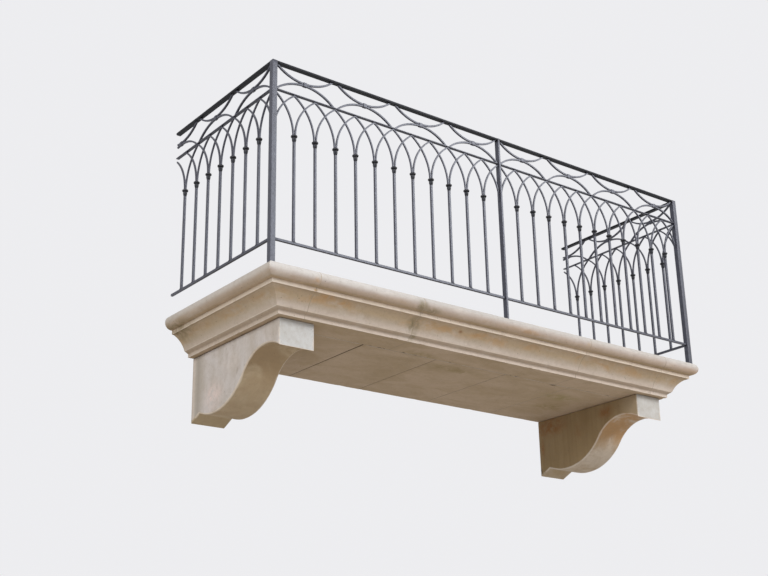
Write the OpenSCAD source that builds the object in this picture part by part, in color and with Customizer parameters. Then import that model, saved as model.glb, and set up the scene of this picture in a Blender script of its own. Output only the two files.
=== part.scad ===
// Stone balcony with a wrought-iron railing of interlaced pointed arches.
// A moulded limestone slab stands out from a wall on two scrolled corbels. Its
// railing has three sides, and is cut off where it enters the wall.
// +X runs along the wall, to the right as seen from outside. The wall is the
// plane y = 0 and the balcony lies in front of it, at y < 0. z = 0 is half-way
// up the slab's back face, in the middle of the balcony.

/* [Railing layout] */
// Distance between the centres of neighbouring front posts
bay = 1394; // [1200:2:1600]
// Pairs of frieze arcs in one front bay
units = 4; // [3:1:5]
// Uprights' spaces under each pair of frieze arcs
per_unit = 3; // [2:1:4]
// Distance from the wall to the centre line of the front railing
reach = 910; // [860:10:1000]

/* [Levels above the floor] */
// Top of the handrail
handrail_top = 1000; // [960:1:1060]
// Clear height of the frieze, between the handrail and the upper rail
frieze_h = 130.5; // [110:0.5:150]
// Height of the arches, from the collars up to the upper rail
arch_rise = 208; // [190:0.5:240]
// Underside of the lower rail
lower_rail_base = 104; // [90:1:140]

/* [Iron sections] */
// Width of the square corner posts
post_w = 27; // [24:1:36]
// Width of the middle post, seen from the front
mid_post_w = 11; // [10:1:20]
// Depth of the middle post
mid_post_d = 28; // [22:1:30]
// How deep the posts are let into the stone
post_socket = 40; // [30:5:45]
// Chamfer on the posts' edges
post_chamfer = 1.5; // [0.5:0.5:3]
// Thickness of the handrail
handrail_t = 12; // [10:1:16]
// Width of the handrail's flat underside
handrail_under = 23; // [16:1:25]
// Height of the upper rail
upper_rail_h = 5; // [5:1:20]
// Depth of the upper rail
upper_rail_d = 18; // [14:1:22]
// Height of the lower rail
lower_rail_h = 12; // [8:1:18]
// Depth of the lower rail
lower_rail_d = 12; // [12:1:22]
// Width of the square uprights
upright_w = 12; // [10:1:14]

/* [Interlaced arches] */
// Thickness of an arch bar in the plane of the railing
arch_bar = 8; // [7:0.5:10]
// Depth of an arch bar
arch_depth = 9; // [8:0.5:12]
// Half the distance between the two bars that spring from one collar
spring_off = 5; // [4.5:0.5:7]

/* [Collars] */
// Diameter of the upper ring
ring_d = 31; // [26:1:34]
// Height of the upper ring
ring_h = 9; // [7:1:11]
// Diameter of the lower bead
bead_d = 21; // [18:1:24]
// Height of the lower bead
bead_h = 20; // [16:1:22]
// Height of the groove between ring and bead
groove_h = 4; // [3:0.5:5]
// Diameter at the bottom of that groove
groove_d = 16; // [14:1:17]

/* [Frieze] */
// Distance from the handrail down to where the two arcs of a pair touch
kiss_drop = 62; // [50:1:70]
// Radius of the frieze arcs' centre lines
arc_r = 240; // [220:5:280]
// Thickness of a frieze bar in the plane of the railing
arc_bar = 9; // [8:0.5:11]
// Depth of a frieze bar
arc_depth = 10; // [9:0.5:12]
// Width of the clip where two arcs meet
clip_w = 22; // [16:1:30]
// How far the clip stands out round the two bars
clip_t = 2; // [1.5:0.5:3]

/* [Slab] */
// Thickness of the slab
slab_t = 194; // [190:1:220]
// How far the slab's rolled edge stands out past the front railing's line
nose_front = 38; // [30:1:50]
// How far it stands out past the side railings' lines
nose_side = 31; // [20:1:40]
// Radius of the roll along the top edge
roll_r = 36; // [30:1:38]
// Set-back of the fillet under the roll
fillet_in = 40; // [39:1:46]
// Height of the fillet under the roll
fillet_h = 20; // [14:1:22]
// Step from that fillet in to the hollow
quirk_in = 10; // [6:1:14]
// Depth from front to back of the hollow
hollow_in = 62; // [54:1:66]
// Height of the hollow
hollow_h = 72; // [66:1:74]
// Radius of the hollow
hollow_r = 120; // [90:5:160]
// Height of the sloping underside of the lip below the hollow
lip_drop = 12; // [6:1:14]
// Set-back of the lower fillet, which takes up the rest of the thickness
low_fillet_in = 133; // [125:1:150]

/* [Stones of the slab] */
// Width of the two end stones, back from the slab's side edge
end_stone_w = 274; // [240:2:300]
// Depth of the moulded front stones, back from the slab's front edge
front_stone_d = 293; // [260:1:320]
// Joint between the first and second front stones
front_joint_a = -555; // [-640:5:-500]
// Joint between the second and third front stones
front_joint_b = 565; // [500:5:640]
// Joint between the first and second floor stones
floor_joint_a = -704; // [-760:1:-660]
// Joint between the second and third floor stones
floor_joint_b = -256; // [-300:1:-200]
// Joint between the third and fourth floor stones
floor_joint_c = 212; // [180:1:260]
// Joint between the fourth and fifth floor stones
floor_joint_d = 680; // [640:1:760]

/* [Corbels] */
// Width of a corbel
corbel_w = 188; // [160:2:220]
// Distance from the side railing's line in to a corbel's outer side
corbel_inset = 131; // [120:1:200]
// How far a corbel stands out from the wall
corbel_d = 780; // [760:2:800]
// Distance from a corbel's front to the top of its hollow
cove_back = 122; // [100:1:130]
// Depth of stone over the top of that hollow
cove_top = 95; // [86:1:110]
// Radius of the hollow
cove_r = 230; // [220:2:280]
// Distance from the wall to the lowest point of the scroll
belly_y = 210; // [195:1:240]
// Depth of stone over the lowest point of the scroll
belly_low = 319; // [300:1:350]
// Distance from the wall to the cusp behind the scroll
cusp_y = 78; // [70:1:100]
// Depth of the corbel at the wall
heel_low = 326; // [310:1:350]

/* [Hidden] */
floor_z = slab_t / 2;
soffit_z = -slab_t / 2;
spaces = units * per_unit;
spacing = bay / spaces;
// The last upright keeps its collar's width clear of the wall
side_bars = floor((reach - ring_d) / spacing);
// The frieze, the arches and the collars hang from the handrail, and the
// uprights take up what is left above the lower rail
handrail_base = handrail_top - handrail_t;
upper_rail_top = handrail_base - frieze_h;
upper_rail_base = upper_rail_top - upper_rail_h;
spring_z = upper_rail_base - arch_rise;
collar_h = ring_h + groove_h + bead_h;
collar_base = spring_z - collar_h;
lower_rail_top = lower_rail_base + lower_rail_h;
kiss_level = handrail_base - kiss_drop;
// An arch bar leaves its collar upright and meets the rail one spacing away
arch_run = spacing - spring_off;
arch_r = (arch_run * arch_run + arch_rise * arch_rise) / (2 * arch_run);
unit_w = spacing * per_unit;
slab_x = bay + nose_side;
slab_y = reach + nose_front;
front_line = -reach;
hollow_top = 2 * roll_r + fillet_h;
hollow_start = fillet_in + quirk_in;
lip_z = -hollow_top - hollow_h;
lip_in = hollow_start + hollow_in;
corbel_x = bay - corbel_inset - corbel_w;
// Centre of the hollow's circle, from its two ends
chord = sqrt(hollow_in * hollow_in + hollow_h * hollow_h);
chord_off = sqrt(hollow_r * hollow_r - chord * chord / 4);
hollow_cx = hollow_start + hollow_in / 2 - chord_off * hollow_h / chord;
hollow_cz = -hollow_top - hollow_h / 2 - chord_off * hollow_in / chord;
// The scroll's two arcs are tangent: the sum of their radii follows from the
// distance between the top of the one and the bottom of the other
scroll_dy = corbel_d - cove_back - belly_y;
scroll_dz = belly_low - cove_top;
radii = (scroll_dy * scroll_dy + scroll_dz * scroll_dz) / (2 * scroll_dz);
belly_r = radii - cove_r;
cove_c = [-(corbel_d - cove_back), -cove_top - cove_r];
belly_c = [-belly_y, -belly_low + belly_r];
in_belly = belly_c + (cove_c - belly_c) * 0.5;
in_cove = belly_c + (cove_c - belly_c) * 0.75;
cusp = [-cusp_y, belly_c[1] - sqrt(belly_r * belly_r - pow(belly_y - cusp_y, 2))];
in_heel = [2 * cusp[0], 2 * cusp[1] + heel_low];
block_low = max(heel_low, belly_low) + 20;

iron = [0.36, 0.36, 0.40];
dark_iron = [0.15, 0.15, 0.16];
limestone = [0.80, 0.74, 0.63];
limestone_b = [0.77, 0.70, 0.58];

// Stonework

// Section of the moulded edge. x is the distance in from the outermost line,
// y the height from the slab's top.
module edge_section(back) {
    // roll
    translate([roll_r, -2 * roll_r]) square([back - roll_r, 2 * roll_r]);
    translate([roll_r, -roll_r]) circle(r = roll_r, $fn = 48);
    // fillet
    translate([fillet_in, -hollow_top]) square([back - fillet_in, fillet_h + roll_r]);
    // the lip's sloping underside and the lower fillet, cut by the hollow
    start = hollow_start - quirk_in / 2;
    difference() {
        polygon([[start, fillet_h / 2 - hollow_top], [start, lip_z + lip_drop],
            [2 * lip_in - low_fillet_in, lip_z + lip_drop], [low_fillet_in, lip_z - lip_drop],
            [low_fillet_in, -slab_t], [back, -slab_t], [back, fillet_h / 2 - hollow_top]]);
        translate([hollow_cx, hollow_cz]) circle(r = hollow_r, $fn = 96);
    }
}

// The front edge's section carried along X from x0 to x1
module front_moulding(x0, x1, back) {
    translate([x0, -slab_y, floor_z]) rotate([90, 0, 90])
        linear_extrude(x1 - x0) edge_section(back);
}

// The left edge's section carried along Y from the slab's front to the wall
module side_moulding(back) {
    translate([-slab_x, 0, floor_z]) rotate([90, 0, 0])
        linear_extrude(slab_y) edge_section(back);
}

// The end stone carries both mouldings, mitred at the corner, and the pocket
// that the corner post is let into
module end_stone() {
    difference() {
        intersection() {
            side_moulding(end_stone_w);
            front_moulding(-slab_x, -slab_x + end_stone_w, slab_y);
        }
        post_pocket(-bay, post_w, post_w);
    }
}

module post_pocket(x, w, d) {
    translate([x - w / 2, front_line - d / 2, floor_z - post_socket])
        cube([w, d, post_socket + 1]);
}

module floor_stone(x0, x1) {
    translate([x0, -slab_y + front_stone_d, soffit_z])
        cube([x1 - x0, slab_y - front_stone_d, slab_t]);
}

end_joint = slab_x - end_stone_w;

module left_end_stone() { color(limestone) end_stone(); }
module right_end_stone() { color(limestone) mirror([1, 0, 0]) end_stone(); }
module front_stone_left() {
    color(limestone_b) front_moulding(-end_joint, front_joint_a, front_stone_d);
}
module front_stone_middle() {
    color(limestone) difference() {
        front_moulding(front_joint_a, front_joint_b, front_stone_d);
        post_pocket(0, mid_post_w, mid_post_d);
    }
}
module front_stone_right() {
    color(limestone_b) front_moulding(front_joint_b, end_joint, front_stone_d);
}
module floor_stone_1() { color(limestone_b) floor_stone(-end_joint, floor_joint_a); }
module floor_stone_2() { color(limestone) floor_stone(floor_joint_a, floor_joint_b); }
module floor_stone_3() { color(limestone_b) floor_stone(floor_joint_b, floor_joint_c); }
module floor_stone_4() { color(limestone) floor_stone(floor_joint_c, floor_joint_d); }
module floor_stone_5() { color(limestone_b) floor_stone(floor_joint_d, end_joint); }

// Side view of a corbel: x is the distance from the wall, y the depth below
// the slab. A hollow behind the upright front runs into the scroll's belly,
// which ends in a cusp over the sloping heel. The block is cut by the hollow's
// circle and by what lies outside the belly's circle under the heel's line.
module corbel_section() {
    difference() {
        translate([-corbel_d, -block_low]) square([corbel_d, block_low]);
        translate(cove_c) circle(r = cove_r, $fn = 128);
        difference() {
            polygon([[0, -heel_low], in_heel, in_belly, in_cove,
                [in_cove[0], -block_low - 20], [0, -block_low - 20]]);
            translate(belly_c) circle(r = belly_r, $fn = 160);
        }
    }
}

module corbel() {
    translate([corbel_x, 0, soffit_z]) rotate([90, 0, 90])
        linear_extrude(corbel_w) corbel_section();
}

module left_corbel() { color(limestone) mirror([1, 0, 0]) corbel(); }
module right_corbel() { color(limestone) corbel(); }

// Posts and rails

// A post stands square in its pocket, and its edges are chamfered above
module post(w, d) {
    a = w / 2;
    b = d / 2;
    c = post_chamfer;
    translate([-a, -b, floor_z - post_socket]) cube([w, d, post_socket]);
    translate([0, 0, floor_z]) linear_extrude(handrail_top)
        polygon([[c - a, -b], [a - c, -b], [a, c - b], [a, b - c], [a - c, b], [c - a, b],
            [-a, b - c], [-a, c - b]]);
}

module left_corner_post() { color(iron) translate([-bay, front_line]) post(post_w, post_w); }
module middle_post() { color(iron) translate([0, front_line]) post(mid_post_w, mid_post_d); }
module right_corner_post() { color(iron) translate([bay, front_line]) post(post_w, post_w); }

// Handrail section: a flat top with eased edges, and sides that slope in to a
// narrower underside
module handrail_section() {
    w = post_w / 2;
    u = handrail_under / 2;
    t = handrail_t;
    polygon([[-u, 0], [u, 0], [w, t * 0.6], [w, t * 0.85], [w - 3, t], [3 - w, t],
        [-w, t * 0.85], [-w, t * 0.6]]);
}

module bar_section(d, h) { translate([-d / 2, 0]) square([d, h]); }

// A panel's frame: local x runs along the railing from the post's centre line,
// local z up from the floor. Each panel is placed by one of these.
module in_left_bay() { translate([-bay, front_line, floor_z]) children(); }
module in_right_bay() { translate([0, front_line, floor_z]) children(); }
module in_left_side() { translate([-bay, front_line, floor_z]) rotate([0, 0, 90]) children(); }
module in_right_side() { translate([bay, front_line, floor_z]) rotate([0, 0, 90]) children(); }

// A bar along local x from x0 to x1, its section given as a child
module run(x0, x1) {
    translate([x0, 0, 0]) rotate([90, 0, 90]) linear_extrude(x1 - x0) children();
}

corner_in = post_w / 2;
mid_in = mid_post_w / 2;

module handrail(x0, x1) {
    translate([0, 0, handrail_base]) run(x0, x1) handrail_section();
}
module upper_rail(x0, x1) {
    translate([0, 0, upper_rail_base]) run(x0, x1) bar_section(upper_rail_d, upper_rail_h);
}
module lower_rail(x0, x1) {
    translate([0, 0, lower_rail_base]) run(x0, x1) bar_section(lower_rail_d, lower_rail_h);
}

module handrail_front_left() { color(dark_iron) in_left_bay() handrail(corner_in, bay - mid_in); }
module handrail_front_right() { color(dark_iron) in_right_bay() handrail(mid_in, bay - corner_in); }
module handrail_left_side() { color(dark_iron) in_left_side() handrail(corner_in, reach); }
module handrail_right_side() { color(dark_iron) in_right_side() handrail(corner_in, reach); }
module upper_rail_front_left() { color(iron) in_left_bay() upper_rail(corner_in, bay - mid_in); }
module upper_rail_front_right() { color(iron) in_right_bay() upper_rail(mid_in, bay - corner_in); }
module upper_rail_left_side() { color(iron) in_left_side() upper_rail(corner_in, reach); }
module upper_rail_right_side() { color(iron) in_right_side() upper_rail(corner_in, reach); }
module lower_rail_front_left() { color(iron) in_left_bay() lower_rail(corner_in, bay - mid_in); }
module lower_rail_front_right() { color(iron) in_right_bay() lower_rail(mid_in, bay - corner_in); }
module lower_rail_left_side() { color(iron) in_left_side() lower_rail(corner_in, reach); }
module lower_rail_right_side() { color(iron) in_right_side() lower_rail(corner_in, reach); }

// Uprights and collars

module uprights(n) {
    for (k = [1:n]) translate([k * spacing, 0, lower_rail_top])
        linear_extrude(collar_base - lower_rail_top) square(upright_w, center = true);
}

// A turned collar: a bead that swells from the upright, a groove and a ring
module collar() {
    b = bead_d / 2;
    g = groove_d / 2;
    r = ring_d / 2;
    rotate_extrude($fn = 16) polygon([[0, 0], [upright_w * 0.6, 0], [b, bead_h * 0.55],
        [b * 0.97, bead_h], [g, bead_h], [g, bead_h + groove_h],
        [r * 0.94, bead_h + groove_h], [r, collar_h - ring_h * 0.4], [r * 0.93, collar_h],
        [0, collar_h]]);
}

module collars(n) {
    for (k = [1:n]) translate([k * spacing, 0, collar_base]) collar();
}

module uprights_front_left() { color(iron) in_left_bay() uprights(spaces - 1); }
module uprights_front_right() { color(iron) in_right_bay() uprights(spaces - 1); }
module uprights_left_side() { color(iron) in_left_side() uprights(side_bars); }
module uprights_right_side() { color(iron) in_right_side() uprights(side_bars); }
module collars_front_left() { color(dark_iron) in_left_bay() collars(spaces - 1); }
module collars_front_right() { color(dark_iron) in_right_bay() collars(spaces - 1); }
module collars_left_side() { color(dark_iron) in_left_side() collars(side_bars); }
module collars_right_side() { color(dark_iron) in_right_side() collars(side_bars); }

// Interlaced arches

// One bar in the plane of the railing, drawn from its foot at the origin. It
// rises upright and bends towards +x as an arc of arch_r.
module arch_bar_2d() {
    intersection() {
        translate([arch_r, 0]) difference() {
            circle(r = arch_r + arch_bar / 2, $fn = 96);
            circle(r = arch_r - arch_bar / 2, $fn = 96);
        }
        translate([-arch_bar, 0]) square([spacing + arch_bar, arch_rise]);
    }
}

// From each springing point k a bar goes either way, so that neighbours cross
// half-way and pairs meet in a point over every upright. first and last are
// the springing points, and the panel is cut at x0 and x1.
module arches(first, last, x0, x1) {
    rotate([90, 0, 0]) translate([0, 0, -arch_depth / 2]) linear_extrude(arch_depth)
        intersection() {
            translate([0, spring_z]) union() {
                for (k = [first:last]) {
                    translate([k * spacing + spring_off, 0]) arch_bar_2d();
                    translate([k * spacing - spring_off, 0]) mirror([1, 0]) arch_bar_2d();
                }
            }
            translate([x0, 0]) square([x1 - x0, upper_rail_base]);
        }
}

module arches_front_left() { color(iron) in_left_bay() arches(0, spaces, corner_in, bay - mid_in); }
module arches_front_right() { color(iron) in_right_bay() arches(0, spaces, mid_in, bay - corner_in); }
module arches_left_side() { color(iron) in_left_side() arches(0, side_bars, corner_in, reach); }
module arches_right_side() { color(iron) in_right_side() arches(0, side_bars, corner_in, reach); }

// Frieze

// A pair of arcs back to back round the origin, where they touch: the upper
// one sags from the handrail and the lower one rises from the upper rail
module frieze_pair() {
    below = frieze_h - kiss_drop;
    for (s = [1, -1]) intersection() {
        translate([0, s * (arc_r + arc_bar / 2)]) difference() {
            circle(r = arc_r + arc_bar / 2, $fn = 120);
            circle(r = arc_r - arc_bar / 2, $fn = 120);
        }
        translate([-unit_w / 2, -below]) square([unit_w, frieze_h]);
    }
}

module frieze(n, x0, x1) {
    rotate([90, 0, 0]) translate([0, 0, -arc_depth / 2]) linear_extrude(arc_depth)
        intersection() {
            union() for (k = [0:n - 1]) translate([(k + 0.5) * unit_w, kiss_level]) frieze_pair();
            translate([x0, 0]) square([x1 - x0, handrail_base]);
        }
    // clips round the touching bars
    for (k = [0:n - 1]) if ((k + 0.5) * unit_w + clip_w / 2 < x1)
        translate([(k + 0.5) * unit_w, 0, kiss_level])
            cube([clip_w, arc_depth + 2 * clip_t, 2 * arc_bar + 2 * clip_t], center = true);
}

side_units = ceil(reach / unit_w);

module frieze_front_left() { color(iron) in_left_bay() frieze(units, corner_in, bay - mid_in); }
module frieze_front_right() { color(iron) in_right_bay() frieze(units, mid_in, bay - corner_in); }
module frieze_left_side() { color(iron) in_left_side() frieze(side_units, corner_in, reach); }
module frieze_right_side() { color(iron) in_right_side() frieze(side_units, corner_in, reach); }

left_end_stone();
right_end_stone();
front_stone_left();
front_stone_middle();
front_stone_right();
floor_stone_1();
floor_stone_2();
floor_stone_3();
floor_stone_4();
floor_stone_5();
left_corbel();
right_corbel();
left_corner_post();
middle_post();
right_corner_post();
handrail_front_left();
handrail_front_right();
handrail_left_side();
handrail_right_side();
upper_rail_front_left();
upper_rail_front_right();
upper_rail_left_side();
upper_rail_right_side();
lower_rail_front_left();
lower_rail_front_right();
lower_rail_left_side();
lower_rail_right_side();
uprights_front_left();
uprights_front_right();
uprights_left_side();
uprights_right_side();
collars_front_left();
collars_front_right();
collars_left_side();
collars_right_side();
arches_front_left();
arches_front_right();
arches_left_side();
arches_right_side();
frieze_front_left();
frieze_front_right();
frieze_left_side();
frieze_right_side();
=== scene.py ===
"""Looks of a stone balcony with a wrought-iron railing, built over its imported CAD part.

Every size is in metres in the part's own frame: +X along the wall to the right,
+Y into the wall, +Z up, with the origin in the middle of the slab's back face.
"""

import logging
import math
from dataclasses import dataclass, field, replace
from enum import Enum

import bpy
import numpy as np
from mathutils import Matrix, Vector
from mathutils.geometry import tessellate_polygon


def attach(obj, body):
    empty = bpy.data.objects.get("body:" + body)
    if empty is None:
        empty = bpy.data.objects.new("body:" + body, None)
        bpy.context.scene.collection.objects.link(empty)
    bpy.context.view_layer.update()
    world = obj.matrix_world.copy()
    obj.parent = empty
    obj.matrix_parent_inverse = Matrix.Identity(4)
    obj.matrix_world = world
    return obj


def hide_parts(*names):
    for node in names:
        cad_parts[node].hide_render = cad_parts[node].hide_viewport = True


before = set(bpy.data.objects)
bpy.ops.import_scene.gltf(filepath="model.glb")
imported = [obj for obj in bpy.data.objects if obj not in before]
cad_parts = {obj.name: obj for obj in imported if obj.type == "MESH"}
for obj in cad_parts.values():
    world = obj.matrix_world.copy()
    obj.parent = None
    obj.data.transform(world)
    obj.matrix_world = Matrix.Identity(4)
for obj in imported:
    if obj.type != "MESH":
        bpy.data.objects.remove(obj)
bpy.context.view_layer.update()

LOG = logging.getLogger("balcony")
Array = np.ndarray
Colour = tuple[float, float, float]
Point = tuple[float, float, float]
FlatPoint = Array | tuple[float, float]
Material = bpy.types.Material
Node = bpy.types.Node
Tree = bpy.types.NodeTree
Socket = bpy.types.NodeSocket
Sockets = bpy.types.NodeOutputs
X_AXIS, Y_AXIS, Z_AXIS = np.eye(3)
PHOTO_WIDTH = 768

# Parts of the shorter side that a corner's rounding and its wear may take
ROUND_SHARE, WEAR_SHARE = 0.45, 0.48
# A flat cap with fewer points than this stays one face
SMALL_CAP = 40
# First seeds of the random draws, for each kind of piece
END_SEED, FRONT_SEED, FLOOR_SEED, CORBEL_SEED, TONE_SEED = 11, 13, 20, 31, 41
POST_SEED, RAIL_SEED, UPRIGHT_SEED = 51, 60, 100
RIGHT_ARCH_SEED, LEFT_ARCH_SEED, FRIEZE_SEED = 200, 230, 300


# Numbers


def linear(colour: Colour) -> tuple[float, float, float, float]:
    """A shown colour as a shader takes it: a part c becomes c / 12.92 up to 0.04045 and
    ((c + 0.055) / 1.055)^2.4 above.

    Args:
        colour: red, green and blue as shown.

    Returns:
        The linear colour with an alpha of 1.
    """
    shown = np.array(colour)
    value = np.where(shown <= 0.04045, shown / 12.92, ((shown + 0.055) / 1.055) ** 2.4)
    return (*value.tolist(), 1.0)


def unit(vectors: Array) -> Array:
    """The vectors along the last axis, each brought to a length of 1."""
    return vectors / np.maximum(np.linalg.norm(vectors, axis=-1, keepdims=True), 1e-9)


def ripple(points: Array, wavelength: float, seed: int) -> Array:
    """Smooth unevenness: the mean of sine waves in fixed random directions.

    Args:
        points: places, shape (..., 3).
        wavelength: the shortest wave's length.
        seed: picks the waves.

    Returns:
        Values of about -1 to 1, shape (...).
    """
    waves, longest, gain = 7, 2.6, 1.6
    rng = np.random.default_rng(seed)
    heading = unit(rng.normal(size=(waves, 3)))
    pitch = 2 * math.pi / (wavelength * rng.uniform(1.0, longest, waves))
    phase = rng.uniform(0, 2 * math.pi, waves)
    return np.sin(points @ (heading * pitch[:, None]).T + phase).mean(axis=-1) * gain


def turned_in(outline: Array, along: Array) -> Array:
    """Directions along a closed outline, turned by a right angle to point into it. The way is the
    sign of the outline's area, the sum of x i * y i+1 - x i+1 * y i.

    Args:
        outline: points in order, shape (n, 2).
        along: a direction at each.

    Returns:
        The turned directions.
    """
    x, y = outline.T
    sense = np.sign(np.sum(x * np.roll(y, -1) - np.roll(x, -1) * y))
    return np.stack([-along[:, 1], along[:, 0]], axis=1) * sense


def arc(centre: Array, radius: float, angles: Array) -> Array:
    """Points on a circle in a plane: centre + radius * (cos a, sin a)."""
    return centre + radius * np.stack([np.cos(angles), np.sin(angles)], axis=1)


def arc_between(centre: Array, radius: float, first: FlatPoint, last: FlatPoint, count: int) -> Array:
    """Points on a circle, evenly from one bearing to another, each taken from 0 to 2 pi.

    Args:
        centre: the circle's centre.
        radius: its radius.
        first: a point at the first bearing.
        last: a point at the last bearing.
        count: how many points.

    Returns:
        The points, shape (count, 2).
    """
    begin, end = (math.atan2(p[1] - centre[1], p[0] - centre[0]) % (2 * math.pi) for p in (first, last))
    return arc(centre, radius, np.linspace(begin, end, count))


# Sections


@dataclass
class Section:
    """A closed section given by its corners, which are rounded one by one.

    Attributes:
        corners: in order, shape (n, 2).
        radius: how far from each corner its rounding begins.
        marks: 1 on a corner that wears, else 0.
        steps: pieces per rounded corner.
        flank: how far beyond the rounding the wear reaches.
    """

    corners: Array
    radius: Array
    marks: Array
    steps: int = 3
    flank: float = 0.001

    def inset(self, depth: float) -> "Section":
        """The same section set in. A corner moves by depth * (m + n) / (1 + m.n), where m and n are
        the inward normals of its sides.

        Args:
            depth: how far its sides move.

        Returns:
            The smaller section.
        """
        after = turned_in(self.corners, unit(np.roll(self.corners, -1, axis=0) - self.corners))
        before = np.roll(after, 1, axis=0)
        mitre = (after + before) / (1 + np.sum(after * before, axis=1, keepdims=True))
        return replace(self, corners=self.corners + mitre * depth)

    def moved(self, across: float, up: float) -> "Section":
        """The same section in another place of its plane."""
        return replace(self, corners=self.corners + np.array([across, up]))

    @property
    def points(self) -> Array:
        """The rounded edge. Each corner C becomes (1-t)^2 A + 2t(1-t) C + t^2 B between points
        A and B on its two sides, and a plain point follows on either side.

        Returns:
            The points in order, shape (n, 2).
        """
        sides = [np.roll(self.corners, way, axis=0) - self.corners for way in (1, -1)]
        room = np.min([np.linalg.norm(side, axis=1) for side in sides], axis=0)
        cut = np.minimum(self.radius, ROUND_SHARE * room)
        wear = np.minimum(cut + self.flank, WEAR_SHARE * room)
        start, end, first, last = [(self.corners + unit(side) * far[:, None])[:, None]
                                   for far in (cut, wear) for side in sides]
        t = np.linspace(0, 1, self.steps + 1)[None, :, None]
        curve = (1 - t) ** 2 * start + 2 * t * (1 - t) * self.corners[:, None] + t**2 * end
        return np.concatenate([first, curve, last], axis=1).reshape(-1, 2)

    @property
    def edge(self) -> Array:
        """The wear value of each point."""
        worn = np.concatenate([[0.0], np.ones(self.steps + 1), [0.0]])
        return (self.marks[:, None] * worn).reshape(-1)

    @property
    def inward(self) -> Array:
        """The direction into the section at each point: the chord of its neighbours, turned."""
        points = self.points
        return unit(turned_in(points, np.roll(points, -1, axis=0) - np.roll(points, 1, axis=0)))


def polygon_section(corners: Array, radius: float, steps: int = 3, flank: float = 0.001) -> Section:
    """A section whose corners are all rounded and worn alike."""
    return Section(corners, np.full(len(corners), radius), np.ones(len(corners)), steps, flank)


def oblong(width: float, height: float, radius: float, steps: int = 3) -> Section:
    """A rectangle round the origin with rounded corners."""
    a, b = width / 2, height / 2
    return polygon_section(np.array([[-a, -b], [a, -b], [a, b], [-a, b]]), radius, steps)


# Shells


@dataclass
class Shell:
    """Surface arrays that have not become a mesh yet.

    Attributes:
        points: places, shape (n, 3).
        quads: four point numbers per face.
        caps: the point numbers of each flat end face.
        edge: wear value per point.
    """

    points: Array
    quads: Array
    caps: list[Array] = field(default_factory=list)
    edge: Array = field(default_factory=lambda: np.zeros(0))

    def facing_out(self) -> "Shell":
        """Turns all faces over if the volume, a sum of v0.(v1 x v2) over triangles, is negative.

        Returns:
            The shell itself.
        """
        fans = [self.quads[:, [0, 1, 2]], self.quads[:, [0, 2, 3]]]
        for rim in self.caps:
            fans.append(np.stack([np.full(len(rim) - 2, rim[0]), rim[1:-1], rim[2:]], axis=1))
        tri = self.points[np.concatenate(fans)] - self.points.mean(axis=0)
        if np.einsum("ij,ij->i", tri[:, 0], np.cross(tri[:, 1], tri[:, 2])).sum() < 0:
            self.quads = self.quads[:, ::-1]
            self.caps = [rim[::-1] for rim in self.caps]
        return self

    def moved(self, matrix: Array) -> "Shell":
        """The same shell in another frame, given by a 4 by 4 matrix."""
        return replace(self, points=self.points @ matrix[:3, :3].T + matrix[:3, 3])


def joined(shells: list[Shell]) -> Shell:
    """Several shells as one, their point numbers counted on.

    Args:
        shells: in order.

    Returns:
        The one shell.
    """
    starts = np.cumsum([0] + [len(s.points) for s in shells[:-1]])
    return Shell(
        np.concatenate([s.points for s in shells]),
        np.concatenate([s.quads + n for s, n in zip(shells, starts)]),
        [rim + n for s, n in zip(shells, starts) for rim in s.caps],
        np.concatenate([s.edge for s in shells]),
    )


def grid_shell(points: Array, edge: Array) -> Shell:
    """A tube from a grid of points: row i, column j joins to row i+1 and to column j+1, the last
    column to the first. Flat caps close the two end rows.

    Args:
        points: shape (rows, columns, 3).
        edge: wear value per column, or per point.

    Returns:
        The shell, facing out.
    """
    rows, columns = points.shape[:2]
    number = np.arange(rows * columns).reshape(rows, columns)
    along = np.roll(number, -1, axis=1)
    quads = np.stack([number[:-1], along[:-1], along[1:], number[1:]], axis=-1).reshape(-1, 4)
    marks = np.broadcast_to(edge, (rows, columns)).reshape(-1).copy()
    return Shell(points.reshape(-1, 3), quads, [number[0][::-1], number[-1]], marks).facing_out()


def swept(section: Section, path: Array, side: Array, up: Array, swell: Array | float = 1.0) -> Shell:
    """Carries a section along a path: P(i, j) = path i + swell i * (x j * side i + y j * up i).

    Args:
        section: what is carried.
        path: stations, shape (n, 3).
        side: direction of the section's x, one for all stations or one each.
        up: direction of its y, likewise.
        swell: its scale at each station.

    Returns:
        The closed shell.
    """
    side = np.broadcast_to(side, path.shape)[:, None]
    up = np.broadcast_to(up, path.shape)[:, None]
    swell = np.broadcast_to(swell, (len(path),))[:, None, None]
    x, y = section.points[None, :, :1], section.points[None, :, 1:]
    return grid_shell(path[:, None] + swell * (x * side + y * up), section.edge)


def extruded(section: Section, at: Array, arris: float) -> tuple[Array, Array]:
    """Carries a section straight along x, set in by arris * (1 - d/arris)^2 at a distance d from
    the nearer end.

    Args:
        section: what is carried, over y and z.
        at: stations along x, from 0 to the length.
        arris: how wide the eased ends are.

    Returns:
        Places and inward directions, shape (stations, points, 3).
    """
    near = np.minimum(at, at[-1] - at)
    depth = arris * (1 - np.clip(near / arris, 0, 1)) ** 2
    flat = np.stack([section.inset(d).points for d in depth])
    places = np.concatenate([np.broadcast_to(at[:, None, None], flat.shape[:2] + (1,)), flat], axis=-1)
    inward = np.zeros_like(places)
    inward[..., 1:] = section.inward
    return places, inward


def stations(length: float, step: float, lip: float = 0.0012) -> Array:
    """Distances along a bar, close together at its ends so that these can be eased.

    Args:
        length: the bar's length.
        step: about how far apart they are.
        lip: how far from the ends the even steps begin.

    Returns:
        The distances, from 0 to the length.
    """
    first = 0.35 * lip
    inner = np.linspace(lip, length - lip, max(2, int(round(length / step))) + 1)
    return np.concatenate([[0.0, first], inner, [length - first, length]])


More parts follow.
